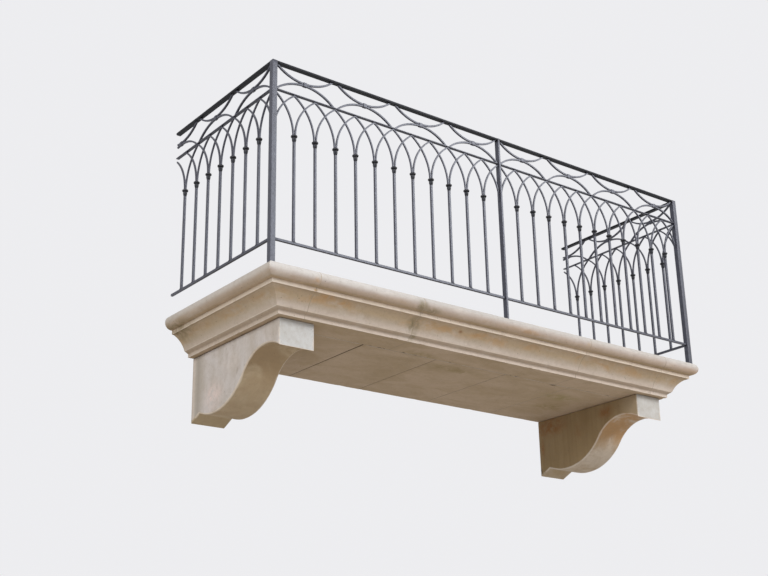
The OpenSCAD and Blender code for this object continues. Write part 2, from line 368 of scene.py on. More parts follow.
def eased(distance: Array, length: float, lip: float, cut: float) -> Array:
    """How much a section shrinks near a bar's two ends: to 1 - cut * (1 - d/lip)^2 at a distance d."""
    near = np.minimum(distance, length - distance)
    return 1 - cut * (1 - np.clip(near / lip, 0, 1)) ** 2


def split_cap(points: Array, rim: Array) -> list[Array]:
    """A flat cap as triangles that face as its rim does. Small caps stay whole.

    Args:
        points: the shell's places.
        rim: the cap's point numbers in order.

    Returns:
        The point numbers of each face.
    """
    if len(rim) < SMALL_CAP:
        return [rim]
    place = points[rim]
    facing = np.cross(place, np.roll(place, -1, axis=0)).sum(axis=0)
    made = []
    for triple in tessellate_polygon([[Vector(p) for p in place]]):
        a, b, c = place[list(triple)]
        turn = 1 if np.cross(b - a, c - a) @ facing > 0 else -1
        made.append(rim[list(triple)][::turn])
    return made


@dataclass(frozen=True)
class Coat:
    """What a piece wears.

    Attributes:
        material: its finish.
        slot: the record's material slot. It is not used.
        smooth: edges flatter than this many degrees are shaded smooth.
    """

    material: Material
    slot: str
    smooth: float = 38.0


def add_object(name: str, data: bpy.types.ID) -> bpy.types.Object:
    """Puts a mesh, a lamp or a camera into the scene.

    Args:
        name: the object's name.
        data: what it shows.

    Returns:
        The new object.
    """
    made = bpy.data.objects.new(name, data)
    bpy.context.scene.collection.objects.link(made)
    return made


def put_in_scene(name: str, shell: Shell, coat: Coat, *replaced: str, tone: float = 0.5) -> None:
    """Makes a shell a piece of the object, riding on its one body.

    Args:
        name: the piece's name.
        shell: its surface.
        coat: what it wears.
        *replaced: CAD nodes that it stands for.
        tone: 0 to 1, by which like pieces differ in colour.
    """
    caps = [face for rim in shell.caps for face in split_cap(shell.points, rim)]
    sizes = np.concatenate([np.full(len(shell.quads), 4), [len(face) for face in caps]]).astype(np.int32)
    corners = np.concatenate([shell.quads.reshape(-1), *caps]).astype(np.int32)
    mesh = bpy.data.meshes.new(name)
    mesh.vertices.add(len(shell.points))
    mesh.vertices.foreach_set("co", shell.points.astype(np.float32).ravel())
    mesh.loops.add(len(corners))
    mesh.loops.foreach_set("vertex_index", corners)
    mesh.polygons.add(len(sizes))
    mesh.polygons.foreach_set("loop_start", np.concatenate([[0], np.cumsum(sizes)[:-1]]).astype(np.int32))
    mesh.update(calc_edges=True)
    mesh.validate()
    for label, values in (("edge", shell.edge), ("tone", np.full(len(shell.points), tone))):
        attribute = mesh.attributes.new(label, "FLOAT", "POINT")
        attribute.data.foreach_set("value", values.astype(np.float32))
    mesh.shade_smooth()
    mesh.set_sharp_from_angle(angle=math.radians(coat.smooth))
    mesh.materials.append(coat.material)
    piece = add_object(name, mesh)
    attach(piece, "root")
    if replaced:
        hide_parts(*replaced)
    LOG.info("%s: %d faces, stands for %s", name, len(sizes), ", ".join(replaced) or "nothing")


# Shader helpers


class Graph:
    """Adds and joins nodes in one shader tree. It is given colours as a screen shows them."""

    def __init__(self, tree: Tree) -> None:
        """Works in the given tree."""
        self.tree = tree

    def put(self, kind: str, values: dict | None = None, **settings: object) -> Node:
        """Adds a node.

        Args:
            kind: its type, without the ShaderNode that most names begin with.
            values: its inputs, as feed takes them.
            **settings: its own properties.

        Returns:
            The new node.
        """
        node = self.tree.nodes.new(kind if kind.startswith("NodeGroup") else f"ShaderNode{kind}")
        for name, value in settings.items():
            setattr(node, name, value)
        self.feed(node, values or {})
        return node

    def feed(self, node: Node, values: dict) -> None:
        """Joins sockets to a node's inputs and sets plain values on the inputs themselves.

        Args:
            node: the node.
            values: input name or number to a socket, number, vector or colour.
        """
        for key, value in values.items():
            target = node.inputs[key]
            if isinstance(value, Socket):
                self.tree.links.new(value, target)
            else:
                target.default_value = linear(value) if target.type == "RGBA" else value

    def math(self, operation: str, a: object, b: object = 0.0, clamp: bool = False) -> Socket:
        """The result of one Math node."""
        return self.put("Math", {0: a, 1: b}, operation=operation, use_clamp=clamp).outputs[0]

    def both(self, *masks: object) -> Socket:
        """The product of several masks.

        Args:
            *masks: sockets or numbers, the first a socket.

        Returns:
            Their product.
        """
        total = masks[0]
        for mask in masks[1:]:
            total = self.math("MULTIPLY", total, mask)
        return total

    def span(self, value: object, low: object, high: object, to_low: float = 0.0,
             to_high: float = 1.0) -> Socket:
        """A value mapped smoothly from low..high on to to_low..to_high, and held beyond them."""
        return self.put("MapRange", {"Value": value, "From Min": low, "From Max": high, "To Min": to_low,
                                     "To Max": to_high}, interpolation_type="SMOOTHSTEP").outputs["Result"]

    def vector(self, operation: str, a: object, b: object) -> Socket:
        """The result of one Vector Math node."""
        return self.put("VectorMath", {0: a, 1: b}, operation=operation).outputs[0]

    def split(self, vector: object) -> Sockets:
        """The three parts of a vector."""
        return self.put("SeparateXYZ", {0: vector}).outputs

    def facing(self) -> Sockets:
        """The three parts of the surface's normal."""
        return self.split(self.put("NewGeometry").outputs["Normal"])

    def attribute(self, name: str) -> Socket:
        """A value that the mesh carries at its points."""
        return self.put("Attribute", attribute_name=name).outputs["Fac"]

    def noise(self, place: object, scale: object, detail: float = 3.0, rough: float = 0.55,
              twist: float = 0.0) -> Socket:
        """Fractal noise, 0 to 1."""
        return self.put("TexNoise", {"Vector": place, "Scale": scale, "Detail": detail, "Roughness": rough,
                                     "Distortion": twist}).outputs[0]

    def spot(self, place: object, centre: Point, size: Point) -> Socket:
        """1 at centre, falling to 0 on the ellipsoid of the given half sizes."""
        offset = self.vector("DIVIDE", self.vector("SUBTRACT", place, centre), size)
        return self.span(self.put("VectorMath", {0: offset}, operation="LENGTH").outputs["Value"], 1.0, 0.0)

    def mix(self, share: object, a: object, b: object) -> Socket:
        """Two colours blended by a share from 0 to 1."""
        return self.put("Mix", {0: share, 6: a, 7: b}, data_type="RGBA").outputs[2]

    def layers(self, base: object, *over: tuple[object, object]) -> Socket:
        """Colours laid over a first one in order.

        Args:
            base: the first colour.
            *over: each mask with its colour.

        Returns:
            The colour on top.
        """
        for mask, colour in over:
            base = self.mix(mask, base, colour)
        return base

    def bands(self, value: object, stops: tuple, low: float, high: float) -> Socket:
        """Colours that follow a value.

        Args:
            value: the socket to follow.
            stops: rising values, each with its colour.
            low: where the ramp begins.
            high: where it ends.

        Returns:
            The colour.
        """
        share = self.put("MapRange", {"Value": value, "From Min": low, "From Max": high}).outputs["Result"]
        node = self.put("ValToRGB", {"Fac": share})
        bar = node.color_ramp.elements
        while len(bar) < len(stops):
            bar.new(0.5)
        for slot, (at, colour) in zip(bar, stops):
            slot.position = (at - low) / (high - low)
            slot.color = linear(colour)
        return node.outputs[0]

    def bump(self, height: Socket, distance: float) -> Socket:
        """A normal that follows a height, of which 1 stands for the given distance in metres."""
        return self.put("Bump", {"Height": height, "Distance": distance, "Strength": 1.0}).outputs[0]

    def use(self, group: Tree, values: dict) -> Sockets:
        """Places a shared effect and returns its outputs."""
        return self.put("Group", values, node_tree=group).outputs


def emptied(owner: Material | bpy.types.World) -> Graph:
    """Clears a shader tree, to be built anew.

    Args:
        owner: the material or world whose tree it is.

    Returns:
        Its graph.
    """
    owner.use_nodes = True
    owner.node_tree.nodes.clear()
    return Graph(owner.node_tree)


def start_material(name: str) -> tuple[Material, Graph, Node, Socket]:
    """Starts a material with one Principled shader.

    Args:
        name: its name.

    Returns:
        The material, its graph, its shader and the place in the part's frame.
    """
    material = bpy.data.materials.new(name)
    g = emptied(material)
    shader = g.put("BsdfPrincipled")
    g.put("OutputMaterial", {"Surface": shader.outputs[0]})
    return material, g, shader, g.put("TexCoord").outputs["Object"]


def open_group(name: str, numbers: dict[str, float]) -> tuple[Graph, Sockets]:
    """Starts a shader node group that takes a place and some numbers.

    Args:
        name: its name.
        numbers: each number's name and default.

    Returns:
        Its graph and its inner inputs.
    """
    g = Graph(bpy.data.node_groups.new(name, "ShaderNodeTree"))
    g.tree.interface.new_socket("Place", in_out="INPUT", socket_type="NodeSocketVector")
    for label, default in numbers.items():
        socket = g.tree.interface.new_socket(label, in_out="INPUT", socket_type="NodeSocketFloat")
        socket.default_value = default
    return g, g.put("NodeGroupInput").outputs


def close_group(g: Graph, results: dict[str, Socket]) -> Tree:
    """Ends a group.

    Args:
        g: its graph.
        results: the name of each output to the socket that feeds it.

    Returns:
        The group.
    """
    for label in results:
        g.tree.interface.new_socket(label, in_out="OUTPUT", socket_type="NodeSocketFloat")
    g.put("NodeGroupOutput", results)
    return g.tree


class Effects:
    """Effects that several finishes share, each a node group built once."""

    def __init__(self) -> None:
        """Builds the four groups."""
        self.wear = self._edge_wear()
        self.dust = self._settled_dust()
        self.grain = self._mineral_grain()
        self.streaks = self._rain_streaks()

    @staticmethod
    def _edge_wear() -> Tree:
        """Rubbed corners: the edge value, broken up by noise.

        Returns:
            The group.
        """
        g, given = open_group("edge wear", {"Edge": 0.0, "Amount": 0.5, "Scale": 60.0})
        patchy = g.noise(given["Place"], given["Scale"], 3.0, 0.5)
        lifted = g.math("ADD", g.math("MULTIPLY", given["Edge"], 0.55), patchy)
        return close_group(g, {"Mask": g.both(g.span(lifted, 0.72, 1.0), given["Amount"])})

    @staticmethod
    def _settled_dust() -> Tree:
        """Dust on faces that look up: the normal's upward part, broken up by noise.

        Returns:
            The group.
        """
        g, given = open_group("settled dust", {"Amount": 0.5, "Scale": 40.0})
        up = g.span(g.facing()[2], 0.35, 0.95)
        patchy = g.span(g.noise(given["Place"], given["Scale"], 4.0, 0.5), 0.3, 0.75)
        return close_group(g, {"Mask": g.both(up, patchy, given["Amount"])})

    @staticmethod
    def _mineral_grain() -> Tree:
        """A mineral surface: fine grit, soft hollows and small round pits.

        Returns:
            The group.
        """
        g, given = open_group("mineral grain", {"Grit": 500.0, "Pit Spacing": 70.0})
        place = given["Place"]
        grit, soft = g.noise(place, given["Grit"], 3.0, 0.5), g.noise(place, 28.0, 4.0)
        cells = g.put("TexVoronoi", {"Vector": place, "Scale": given["Pit Spacing"],
                                     "Randomness": 1.0}).outputs["Distance"]
        pits = g.both(g.span(cells, 0.22, 0.08), g.span(g.noise(place, 19.0, 2.0), 0.52, 0.66))
        surface = g.math("ADD", g.math("MULTIPLY", grit, 0.35), soft)
        height = g.math("ADD", surface, g.math("MULTIPLY", pits, -1.2))
        return close_group(g, {"Height": height, "Pits": pits, "Speckle": grit})

    @staticmethod
    def _rain_streaks() -> Tree:
        """Upright streaks: noise drawn out along z.

        Returns:
            The group.
        """
        g, given = open_group("rain streaks", {"Width": 22.0, "Sharpness": 0.16})
        drawn = g.vector("MULTIPLY", given["Place"], (1.0, 1.0, 0.09))
        low, high = (g.math(way, 0.52, given["Sharpness"]) for way in ("SUBTRACT", "ADD"))
        return close_group(g, {"Mask": g.span(g.noise(drawn, given["Width"], 4.0, 0.6), low, high)})


# Finishes


ALGAE: Colour = (0.53, 0.48, 0.36)
OLIVE: Colour = (0.63, 0.55, 0.40)
OCHRE: Colour = (0.80, 0.62, 0.42)
RUST: Colour = (0.58, 0.40, 0.22)
SOOT: Colour = (0.46, 0.40, 0.32)
IRON_RUST: Colour = (0.38, 0.24, 0.16)
DUST: Colour = (0.66, 0.63, 0.58)
SKY: Colour = (0.90, 0.93, 1.0)


@dataclass(frozen=True)
class IronFinish:
    """Old satin paint on forged iron: mottled, rubbed at the corners, dusty above.

    Attributes:
        name: the material's name.
        paint: the paint's colour.
        mottled: colour of its darker patches.
        rubbed: colour of worn corners.
        gloss: roughness of sound paint.
        rub: how much of the corners is worn.
        dust: how much dust lies on top.
        sheen: how strongly it reflects.
        dents: depth of the hammer marks.
    """

    name: str
    paint: Colour
    mottled: Colour
    rubbed: Colour
    gloss: float
    rub: float
    dust: float
    sheen: float
    dents: float = 0.0003

    def build(self, effects: Effects) -> Material:
        """Makes the material.

        Args:
            effects: the shared node groups.

        Returns:
            The material.
        """
        material, g, shader, place = start_material(self.name)
        patches = g.span(g.noise(place, 34.0, 5.0, 0.6, 0.4), 0.35, 0.68)
        worn = g.use(effects.wear, {"Place": place, "Edge": g.attribute("edge"), "Amount": self.rub,
                                    "Scale": 55.0})["Mask"]
        specks = g.span(g.noise(place, 90.0, 5.0, 0.65), 0.64, 0.74)
        rust = g.both(specks, g.span(g.noise(place, 6.0), 0.5, 0.7))
        dusty = g.use(effects.dust, {"Place": place, "Amount": self.dust, "Scale": 60.0})["Mask"]
        colour = g.layers(self.paint, (patches, self.mottled), (worn, self.rubbed),
                          (g.both(rust, 0.55), IRON_RUST), (dusty, DUST))
        dull = g.math("ADD", g.math("MULTIPLY", g.noise(place, 120.0, 3.0), 0.22), self.gloss - 0.1)
        dull = g.math("ADD", dull, g.both(dusty, 0.4))
        dull = g.math("ADD", dull, g.both(rust, 0.3), clamp=True)
        hammered = g.put("TexVoronoi", {"Vector": place, "Scale": 75.0, "Smoothness": 1.0},
                         feature="SMOOTH_F1").outputs["Distance"]
        orange_peel = g.math("MULTIPLY", g.noise(place, 900.0, 2.0), 0.06)
        g.feed(shader, {"Base Color": colour, "Roughness": dull, "Specular IOR Level": self.sheen,
                        "Specular Tint": SKY,
                        "Normal": g.bump(g.math("ADD", hammered, orange_peel), self.dents)})
        return material


PAINTED_IRON = IronFinish("painted iron", (0.25, 0.25, 0.285), (0.20, 0.195, 0.22), (0.39, 0.38, 0.41),
                          gloss=0.38, rub=0.4, dust=0.30, sheen=0.5)
WORN_IRON = IronFinish("worn handrail iron", (0.07, 0.07, 0.075), (0.05, 0.05, 0.053), (0.17, 0.16, 0.155),
                       gloss=0.42, rub=0.5, dust=0.08, sheen=0.22)
COLLAR_IRON = IronFinish("black collar iron", (0.15, 0.145, 0.15), (0.10, 0.098, 0.10), (0.26, 0.25, 0.25),
                         gloss=0.45, rub=0.5, dust=0.25, sheen=0.35)


class StonePart(Enum):
    """Which stones a finish is for."""

    SLAB = "slab"
    CORBEL = "corbel"


@dataclass(frozen=True)
class Stain:
    """A stain at one place of the stone.

    Attributes:
        centre: its middle.
        size: its half sizes.
        colour: what it turns the stone to.
        share: how strong it is.
    """

    centre: Point
    size: Point
    colour: Colour
    share: float


SLAB_STAINS = tuple(Stain(*row) for row in (
    ((-0.566, -0.940, 0.048), (0.046, 0.07, 0.042), ALGAE, 0.90),
    ((-0.500, -0.940, 0.034), (0.080, 0.07, 0.024), ALGAE, 0.70),
    ((-0.558, -0.865, -0.024), (0.064, 0.08, 0.062), ALGAE, 0.90),
    ((-0.540, -0.840, -0.078), (0.030, 0.06, 0.030), ALGAE, 0.80),
    ((-1.170, -0.940, 0.040), (0.030, 0.05, 0.030), OCHRE, 0.45),
    ((-1.154, -0.905, 0.012), (0.016, 0.03, 0.012), (0.74, 0.58, 0.36), 0.80),
    ((-1.080, -0.890, 0.000), (0.070, 0.04, 0.020), OCHRE, 0.70),
    ((-0.980, -0.880, -0.008), (0.080, 0.04, 0.022), OCHRE, 0.60),
    ((-0.276, -0.870, -0.011), (0.020, 0.03, 0.010), (0.55, 0.36, 0.20), 0.75),
    ((-0.140, -0.870, -0.014), (0.120, 0.04, 0.018), OCHRE, 0.65),
    ((0.545, -0.943, 0.045), (0.024, 0.04, 0.022), (0.78, 0.68, 0.55), 0.80),
    ((0.120, -0.940, 0.040), (0.160, 0.05, 0.016), (0.72, 0.56, 0.40), 0.45),
    ((-1.395, -0.04, 0.000), (0.120, 0.24, 0.110), (0.52, 0.45, 0.32), 0.85),
    ((-0.080, -0.570, -0.097), (0.260, 0.075, 0.03), OLIVE, 0.90),
    ((-0.380, -0.680, -0.097), (0.170, 0.070, 0.03), OLIVE, 0.75),
    ((0.780, -0.480, -0.097), (0.200, 0.090, 0.03), (0.62, 0.56, 0.37), 0.85),
    ((0.870, -0.300, -0.097), (0.140, 0.110, 0.03), (0.60, 0.52, 0.34), 0.80),
    # A very dark spot under the slab: painted shade that stands for the inside of a small hole.
    ((0.567, -0.645, -0.097), (0.034, 0.014, 0.03), (0.16, 0.12, 0.09), 1.00),
    ((-0.945, -0.460, -0.097), (0.120, 0.120, 0.03), (0.62, 0.50, 0.36), 0.40),
))

CORBEL_STAINS = tuple(Stain(*row) for row in (
    ((-1.263, -0.330, -0.180), (0.03, 0.022, 0.045), SOOT, 0.35),
    ((-1.263, -0.425, -0.262), (0.03, 0.016, 0.030), SOOT, 0.40),
    ((-1.263, -0.316, -0.240), (0.03, 0.030, 0.070), (0.66, 0.60, 0.54), 0.55),
    ((-1.263, -0.210, -0.330), (0.03, 0.130, 0.110), (0.87, 0.79, 0.75), 0.80),
    ((-1.263, -0.360, -0.200), (0.03, 0.130, 0.070), (0.84, 0.79, 0.75), 0.45),
    ((1.075, -0.100, -0.145), (0.03, 0.190, 0.085), RUST, 1.10),
    ((1.075, -0.030, -0.260), (0.03, 0.022, 0.130), RUST, 0.75),
    ((1.075, -0.545, -0.150), (0.03, 0.080, 0.055), RUST, 1.00),
    ((1.075, -0.320, -0.215), (0.03, 0.050, 0.070), RUST, 0.45),
    ((1.075, -0.006, -0.395), (0.03, 0.020, 0.030), (0.30, 0.24, 0.14), 0.80),
    ((-1.075, -0.200, -0.180), (0.03, 0.120, 0.060), RUST, 0.55),
))

# The slab's colour over the height, with painted shade darkening the roll's lower half and a darker band on
# the lip's slope, and the corbels' colour on the way to the wall
SLAB_BANDS = (
    (-0.098, (0.80, 0.74, 0.69)), (-0.088, (0.80, 0.74, 0.69)), (-0.081, (0.73, 0.67, 0.61)),
    (-0.074, (0.73, 0.66, 0.60)), (-0.067, (0.80, 0.73, 0.66)), (-0.058, (0.81, 0.75, 0.70)),
    (-0.040, (0.78, 0.72, 0.65)), (-0.018, (0.79, 0.70, 0.58)), (0.003, (0.79, 0.70, 0.59)),
    (0.006, (0.87, 0.81, 0.75)), (0.022, (0.87, 0.80, 0.72)), (0.027, (0.78, 0.69, 0.60)),
    (0.038, (0.76, 0.68, 0.61)), (0.048, (0.74, 0.68, 0.64)), (0.060, (0.76, 0.72, 0.69)),
    (0.075, (0.77, 0.75, 0.73)), (0.098, (0.79, 0.77, 0.74)))
WALL_BANDS = (
    (-0.14, (0.76, 0.72, 0.68)), (-0.10, (0.70, 0.66, 0.61)), (-0.060, (0.61, 0.57, 0.52)),
    (-0.040, (0.66, 0.62, 0.56)), (-0.020, (0.80, 0.74, 0.68)), (0.0, (0.72, 0.66, 0.59)))


@dataclass(frozen=True)
class StoneFinish:
    """Pale limestone: cream on top, ochre under the fillet, taupe where the slab shelters it,
    with painted shade on the slab's side faces and on the roll's lower half and painted light on
    the corbels' front faces.

    Attributes:
        name: the material's name.
        part: slab or corbel, which are coloured differently.
        stains: stains at single places.
        grit: depth of the fine grain.
    """

    name: str
    part: StonePart
    stains: tuple[Stain, ...]
    grit: float = 0.0011

    def build(self, effects: Effects) -> Material:
        """Makes the material.

        Args:
            effects: the shared node groups.

        Returns:
            The material.
        """
        material, g, shader, place = start_material(self.name)
        if self.part is StonePart.SLAB:
            colour = self._slab_colour(g, place)
        else:
            colour = self._corbel_colour(g, effects, place)
        ragged = g.span(g.noise(place, 26.0, 5.0, 0.62, 0.6), 0.30, 0.62)
        for stain in self.stains:
            mask = g.both(g.spot(place, stain.centre, stain.size), ragged, stain.share * 1.15)
            colour = g.mix(mask, colour, stain.colour)
        mottled = g.span(g.noise(place, 46.0, 6.0, 0.68, 0.3), 0.42, 0.72, 0.0, 0.20)
        grain = g.use(effects.grain, {"Place": place, "Grit": 420.0, "Pit Spacing": 60.0})
        worn = g.use(effects.wear, {"Place": place, "Edge": g.attribute("edge"), "Amount": 0.55,
                                    "Scale": 24.0})["Mask"]
        colour = g.layers(colour,
                          (g.span(g.attribute("tone"), 0.0, 1.0, 0.0, 0.14), (0.70, 0.62, 0.53)),
                          (mottled, (0.58, 0.50, 0.41)),
                          (g.span(grain["Speckle"], 0.35, 0.75, 0.0, 0.12), (0.60, 0.53, 0.44)),
                          (g.both(grain["Pits"], 0.5), (0.42, 0.36, 0.29)),
                          (worn, (0.88, 0.83, 0.77)))
        g.feed(shader, {"Base Color": colour, "Roughness": g.span(grain["Speckle"], 0.2, 0.8, 0.82, 0.96),
                        "Specular IOR Level": 0.3, "Normal": g.bump(grain["Height"], self.grit)})
        return material

    @staticmethod
    def _slab_colour(g: Graph, place: Socket) -> Socket:
        """Bands that follow the moulding, ochre under the fillet, painted shade on the roll's lower half,
        side faces painted darker as painted shade, taupe underneath and dusty paving on top.

        Args:
            g: the material's graph.
            place: the place in the part.

        Returns:
            The colour.
        """
        (x, y, z), facing = g.split(place), g.facing()
        run = g.vector("MULTIPLY", place, (1.0, 1.0, 2.4))
        patchy = g.span(g.noise(run, 6.0, 5.0, 0.6, 0.8), 0.44, 0.66)
        flecked = g.span(g.noise(run, 4.0, 4.0, 0.6), 0.45, 0.7)
        in_hollow = g.both(g.span(z, -0.052, -0.012), g.span(z, 0.006, 0.000))
        # Painted shade: the roll's lower half, which faces down, is painted browner in flecks.
        painted_roll_shade = g.both(g.span(z, 0.024, 0.036), g.span(z, 0.062, 0.044))
        left_roll = g.both(g.span(x, -0.35, -1.15), g.span(z, 0.040, 0.066))
        low_run = g.vector("MULTIPLY", place, (0.7, 0.7, 2.0))
        pale = g.span(g.noise(low_run, 9.0, 4.0, 0.6, 0.5), 0.50, 0.72)
        # Painted shade: faces that look sideways are painted darker and browner.
        side = g.span(g.math("ABSOLUTE", facing[0]), 0.30, 0.65)
        clouds = g.noise(g.vector("MULTIPLY", place, (0.6, 1.3, 1.0)), 5.0, 6.0, 0.64, 0.5)
        soffit = g.mix(g.span(clouds, 0.34, 0.68), (0.77, 0.68, 0.58), (0.70, 0.61, 0.49))
        trodden = g.span(g.noise(place, 7.0, 7.0, 0.7), 0.34, 0.72)
        paving = g.mix(trodden, (0.75, 0.72, 0.67), (0.66, 0.62, 0.56))
        return g.layers(g.bands(z, SLAB_BANDS, -0.100, 0.100),
                        (g.both(in_hollow, patchy, 0.55), OCHRE),
                        (g.both(painted_roll_shade, flecked, 0.5), (0.74, 0.62, 0.50)),
                        (g.both(pale, 0.40), (0.87, 0.83, 0.79)),
                        (g.both(left_roll, 0.65), (0.86, 0.84, 0.82)),
                        (g.both(side, 0.42), (0.64, 0.56, 0.45)),
                        (g.span(facing[2], -0.80, -0.97), soffit),
                        (g.both(g.span(facing[2], 0.8, 0.97), g.span(y, -0.935, -0.90)), paving))

    @staticmethod
    def _corbel_colour(g: Graph, effects: Effects, place: Socket) -> Socket:
        """Washed pinkish white in the open, with the front faces painted paler as painted light,
        brown and streaked on the faces that the slab shelters, warm underneath and darkest at the
        crown of the hollow.

        Args:
            g: the material's graph.
            effects: the shared node groups.
            place: the place in the part.

        Returns:
            The colour.
        """
        (x, y, z), facing = g.split(place), g.facing()
        clouds = g.noise(place, 7.0, 5.0, 0.6, 0.5)
        wash = g.use(effects.streaks, {"Place": place, "Width": 17.0, "Sharpness": 0.14})["Mask"]
        # Painted light: faces that look to the front are painted paler and greyer.
        front = g.span(g.math("MULTIPLY", facing[1], -1.0), 0.7, 0.95)
        open_face = g.layers(
            g.mix(g.span(clouds, 0.34, 0.68), (0.80, 0.765, 0.74), (0.74, 0.695, 0.65)),
            (g.both(wash, 0.30), (0.67, 0.63, 0.58)),
            (g.both(g.span(y, -0.13, -0.07), 0.75), g.bands(y, WALL_BANDS, -0.14, 0.0)),
            (front, g.mix(g.span(clouds, 0.40, 0.66), (0.80, 0.80, 0.795), (0.75, 0.745, 0.73))))
        shade = g.layers(g.mix(clouds, (0.68, 0.585, 0.44), (0.60, 0.50, 0.34)),
                         (g.both(wash, 0.45), (0.52, 0.42, 0.26)),
                         (g.both(g.span(y, -0.60, -0.74), 0.55), (0.74, 0.67, 0.57)))
        warm = g.span(x, -0.2, 0.2)
        pale = g.mix(warm, (0.78, 0.70, 0.58), (0.84, 0.78, 0.71))
        crown = g.mix(warm, (0.66, 0.56, 0.43), (0.74, 0.57, 0.38))
        belly = g.layers(g.mix(g.span(clouds, 0.35, 0.68), pale, (0.72, 0.63, 0.51)),
                         (g.both(g.span(z, -0.36, -0.24), g.span(clouds, 0.25, 0.5), 0.9), crown),
                         (g.both(g.span(y, -0.11, -0.06), 0.5), (0.66, 0.58, 0.45)))
        by_middle = g.span(g.math("ABSOLUTE", x), 1.092, 1.080)
        inner = g.both(by_middle, g.span(g.math("ABSOLUTE", facing[0]), 0.6, 0.9))
        return g.layers(open_face, (inner, shade), (g.span(facing[2], -0.02, -0.3), belly))


@dataclass(frozen=True)
class MortarFinish:
    """Lime mortar: stone-coloured in front, dark in the open joints underneath.

    Attributes:
        name: the material's name.
        pale: its colour where it is sound.
        dark: its colour where it is damp.
        missing: its colour where it is lost.
    """

    name: str
    pale: Colour = (0.73, 0.66, 0.57)
    dark: Colour = (0.58, 0.51, 0.43)
    missing: Colour = (0.34, 0.29, 0.22)

    def build(self, effects: Effects) -> Material:
        """Makes the material.

        Args:
            effects: the shared node groups.

        Returns:
            The material.
        """
        material, g, shader, place = start_material(self.name)
        x, y, z = g.split(place)
        open_part = g.both(g.span(x, -0.20, -0.25), g.span(x, -0.80, -0.75), g.span(y, -0.66, -0.65))
        low = g.both(g.span(z, -0.070, -0.090), g.math("MAXIMUM", open_part, 0.35))
        patchy = g.math("ADD", g.span(g.noise(place, 16.0, 4.0), 0.38, 0.62), low, clamp=True)
        grain = g.use(effects.grain, {"Place": place, "Grit": 700.0, "Pit Spacing": 110.0})
        colour = g.layers(self.pale, (patchy, self.dark), (g.both(grain["Speckle"], 0.3), (0.74, 0.68, 0.60)),
                          (g.both(low, 0.7), self.missing))
        g.feed(shader, {"Base Color": colour, "Roughness": 0.95, "Normal": g.bump(grain["Height"], 0.0016)})
        return material


# Stonework


@dataclass(frozen=True)
class Chipping:
    """Small losses along stone arrises, each a bowl pressed in by depth * (1 - d^2/r^2)^2.

    Attributes:
        seed: picks the places.
        density: how many are tried in a quarter metre.
        radius: smallest and largest radius.
        depth: smallest and largest depth.
    """

    seed: int
    density: float = 5.0
    radius: tuple[float, float] = (0.006, 0.020)
    depth: tuple[float, float] = (0.0006, 0.0032)

    def press(self, points: Array, inward: Array, edge: Array) -> Array:
        """Moves points near the chips inwards.

        Args:
            points: a grid, shape (rows, columns, 3).
            inward: the direction into the stone at each.
            edge: wear value per column; chips sit where it is 1.

        Returns:
            The moved grid.
        """
        rng = np.random.default_rng(self.seed)
        length = np.linalg.norm(points[-1, 0] - points[0, 0])
        count = int(self.density * max(length, 0.2) * 4)
        rows = rng.integers(1, len(points) - 1, count)
        centres = points[rows, rng.choice(np.flatnonzero(edge > 0.9), count)]
        radius = rng.uniform(*self.radius, count)
        depth = rng.uniform(*self.depth, count)
        gap = np.linalg.norm(points[:, :, None] - centres, axis=-1)
        bowl = depth * np.clip(1 - (gap / radius) ** 2, 0, 1) ** 2
        return points + inward * bowl.max(axis=-1)[..., None]


